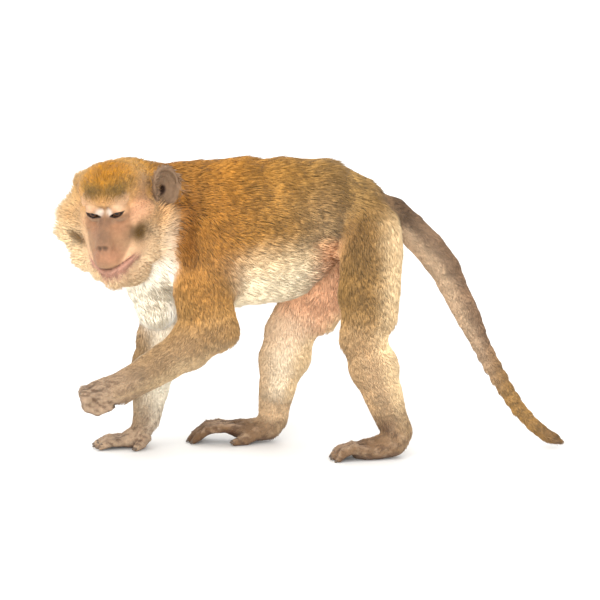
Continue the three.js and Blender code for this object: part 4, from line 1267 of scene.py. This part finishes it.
is_short = long < SHORT
adrift = 2.2 * np.stack([wave(roots, 15, s) for s in (5, 6, 7)], 1)
cell = (roots + adrift) / np.where(is_short, LOCKS[1], LOCKS[0])[:, None]
cell = np.floor(cell).astype(np.int64)
cell[:, 0] += 1000 * is_short
_, lock = np.unique(cell, axis=0, return_inverse=True)
lock = lock.ravel()
members = np.bincount(lock)
meeting = np.stack([np.bincount(lock, tip[:, n]) / members for n in range(3)], 1)[lock]
reach = np.minimum(1.0, long / 14)[:, None]
tip = tip + (meeting - tip) * TIP_PULL * reach
bend = bend + (meeting - tip) * BEND_PULL * reach
mine = rng.random(TUFTS)
# Dark tips and patches show in brown fur, and hardly in cream.
mottled = 1 - 0.8 * soft(tint.mean(1), 0.3, 0.65)

OUTLINE = ((-0.5, -0.2), (0.5, -0.2), (0.0, 0.4))  # a tuft's cross-section, as shares of its width


def tuft_rings(centre, ahead, breadth):
    across = unit(np.cross(out[here], ahead))
    over = np.cross(ahead, across)
    return [centre + across * (breadth * s)[:, None] + over * (breadth * t)[:, None] for s, t in OUTLINE]


# The faces of a tuft, and each of their corners' place on its own patch of the OFBake map: round it and
# along it.
PATCH = 0.003  # of the map's width
TUFT_FACES, TUFT_MAP = [(0, 2, 1)], [[(0.0, 0.0), (0.66, 0.0), (0.33, 0.05)]]
for i in range(3):
    j, u0, u1 = (i + 1) % 3, i / 3, (i + 1) / 3
    TUFT_FACES += [(i, j, 3 + j), (i, 3 + j, 3 + i), (3 + i, 3 + j, 6)]
    TUFT_MAP += [
        [(u0, 0.0), (u1, 0.0), (u1, BEND_AT)], [(u0, 0.0), (u1, BEND_AT), (u0, BEND_AT)],
        [(u0, BEND_AT), (u1, BEND_AT), ((i + 0.5) / 3, 1.0)],
    ]
TUFT_FACES, TUFT_MAP = np.array(TUFT_FACES), np.array(TUFT_MAP)

fur = Finish("coat", Roughness=0.62, Specular_IOR_Level=0.25, Sheen_Weight=0.08, Sheen_Roughness=0.5)
own, along = fur.attribute("own"), fur.attribute("along")
mottling = fur.attribute("mottled")
patches = fur.noise(32.0, 2.0) * 0.4 + fur.noise(80.0, 3.0) * 0.5 + fur.noise(230.0, 2.0) * 0.35
dark_tip = (own > 0.72) * along * mottling * 0.4
tone = fur.shaded(fur.attribute("hue", "Color"), 1.0 + (patches - 0.62) * mottling * 1.6)
fur.onto(Base_Color=fur.shaded(tone, along * 0.3 + own * 0.22 + 0.78 - dark_tip))

COATS = {
    "coat_head": ("crown", "brow", "face", "muzzle", "nose", "cheek", "temple"),
    "coat_ruff": ("ruff", "jaw", "chin"),
    "coat_neck": ("neck", "brisket", "throat"), "coat_chest": ("chest",), "coat_abdomen": ("abdomen",),
    "coat_pelvis": ("pelvis",), "coat_arm_left": ("upper_arm_left", "forearm_left", "hand_left"),
    "coat_arm_right": ("upper_arm_right", "forearm_right", "hand_right"), "coat_thigh_left": ("thigh_left",),
    "coat_thigh_right": ("thigh_right",), "coat_shank_left": ("shank_left", "foot_left"),
    "coat_shank_right": ("shank_right", "foot_right"), "coat_tail": ("tail",),
}
coat_names = list(COATS)
coat_of = np.array([
    next(n for n, name in enumerate(coat_names) if m.part in COATS[name]) for m in every_mass
])
root_mass = owner[skin_faces[chosen][:, 0]]
root_coat = coat_of[root_mass]
for number, name in enumerate(coat_names):
    here = np.flatnonzero(root_coat == number)
    first, middle, last = roots[here] - out[here] * ROOT_DEPTH, bend[here], tip[here]
    rings = tuft_rings(first, unit(middle - first), wide[here])
    rings += tuft_rings(middle, unit(last - first), wide[here] * 0.85)
    points = np.stack(rings + [last], 1)
    faces = TUFT_FACES[None] + TUFT_POINTS * np.arange(len(here))[:, None, None]
    piece = array_mesh(
        name, on_frame(points.reshape(-1, 3)), faces.reshape(-1, 3),
        {
            "along": np.tile([0, 0, 0, BEND_AT, BEND_AT, BEND_AT, 1], len(here)),
            "own": np.repeat(mine[here], TUFT_POINTS), "mottled": np.repeat(mottled[here], TUFT_POINTS),
        },
        {"hue": np.repeat(tint[here], TUFT_POINTS, axis=0)},
    )
    # The unwrap: each mass is a strip of the map, unrolled round its own axis, with its tufts in rows.
    corner = np.zeros((len(here), 2))
    done = 0.0
    for which in np.unique(root_mass[here]):
        mine_here = np.flatnonzero(root_mass[here] == which)
        m = every_mass[which]
        axis = unit(m.ends[1] - m.ends[0])
        rel = roots[here][mine_here] - m.ends[0]
        across = unit(np.cross(axis, (0.2, 1.0, 0.1)))
        round_it = np.arctan2(rel @ np.cross(axis, across), rel @ across)
        tall = len(mine_here) / len(here)
        rows = max(1, round(math.sqrt(len(mine_here) * tall)))
        row = np.minimum(np.argsort(np.argsort(rel @ axis)) * rows // len(mine_here), rows - 1)
        order = np.lexsort((round_it, row))
        in_row = np.empty(len(mine_here))
        counts = np.bincount(row, minlength=rows)
        in_row[order] = np.concatenate([(np.arange(c) + 0.5) / c for c in counts])
        corner[mine_here, 0] = in_row * (1 - PATCH)
        corner[mine_here, 1] = done + (row + 0.5) / rows * tall
        done += tall
    corner = np.clip(corner - PATCH / 2, 0, 1 - PATCH)
    flat = corner[:, None, None, :] + TUFT_MAP[None] * PATCH
    piece.data.uv_layers.new(name="OFBake").data.foreach_set("uv", flat.astype(np.float32).ravel())
    piece.data.materials.append(fur.material)
    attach(piece, "root")
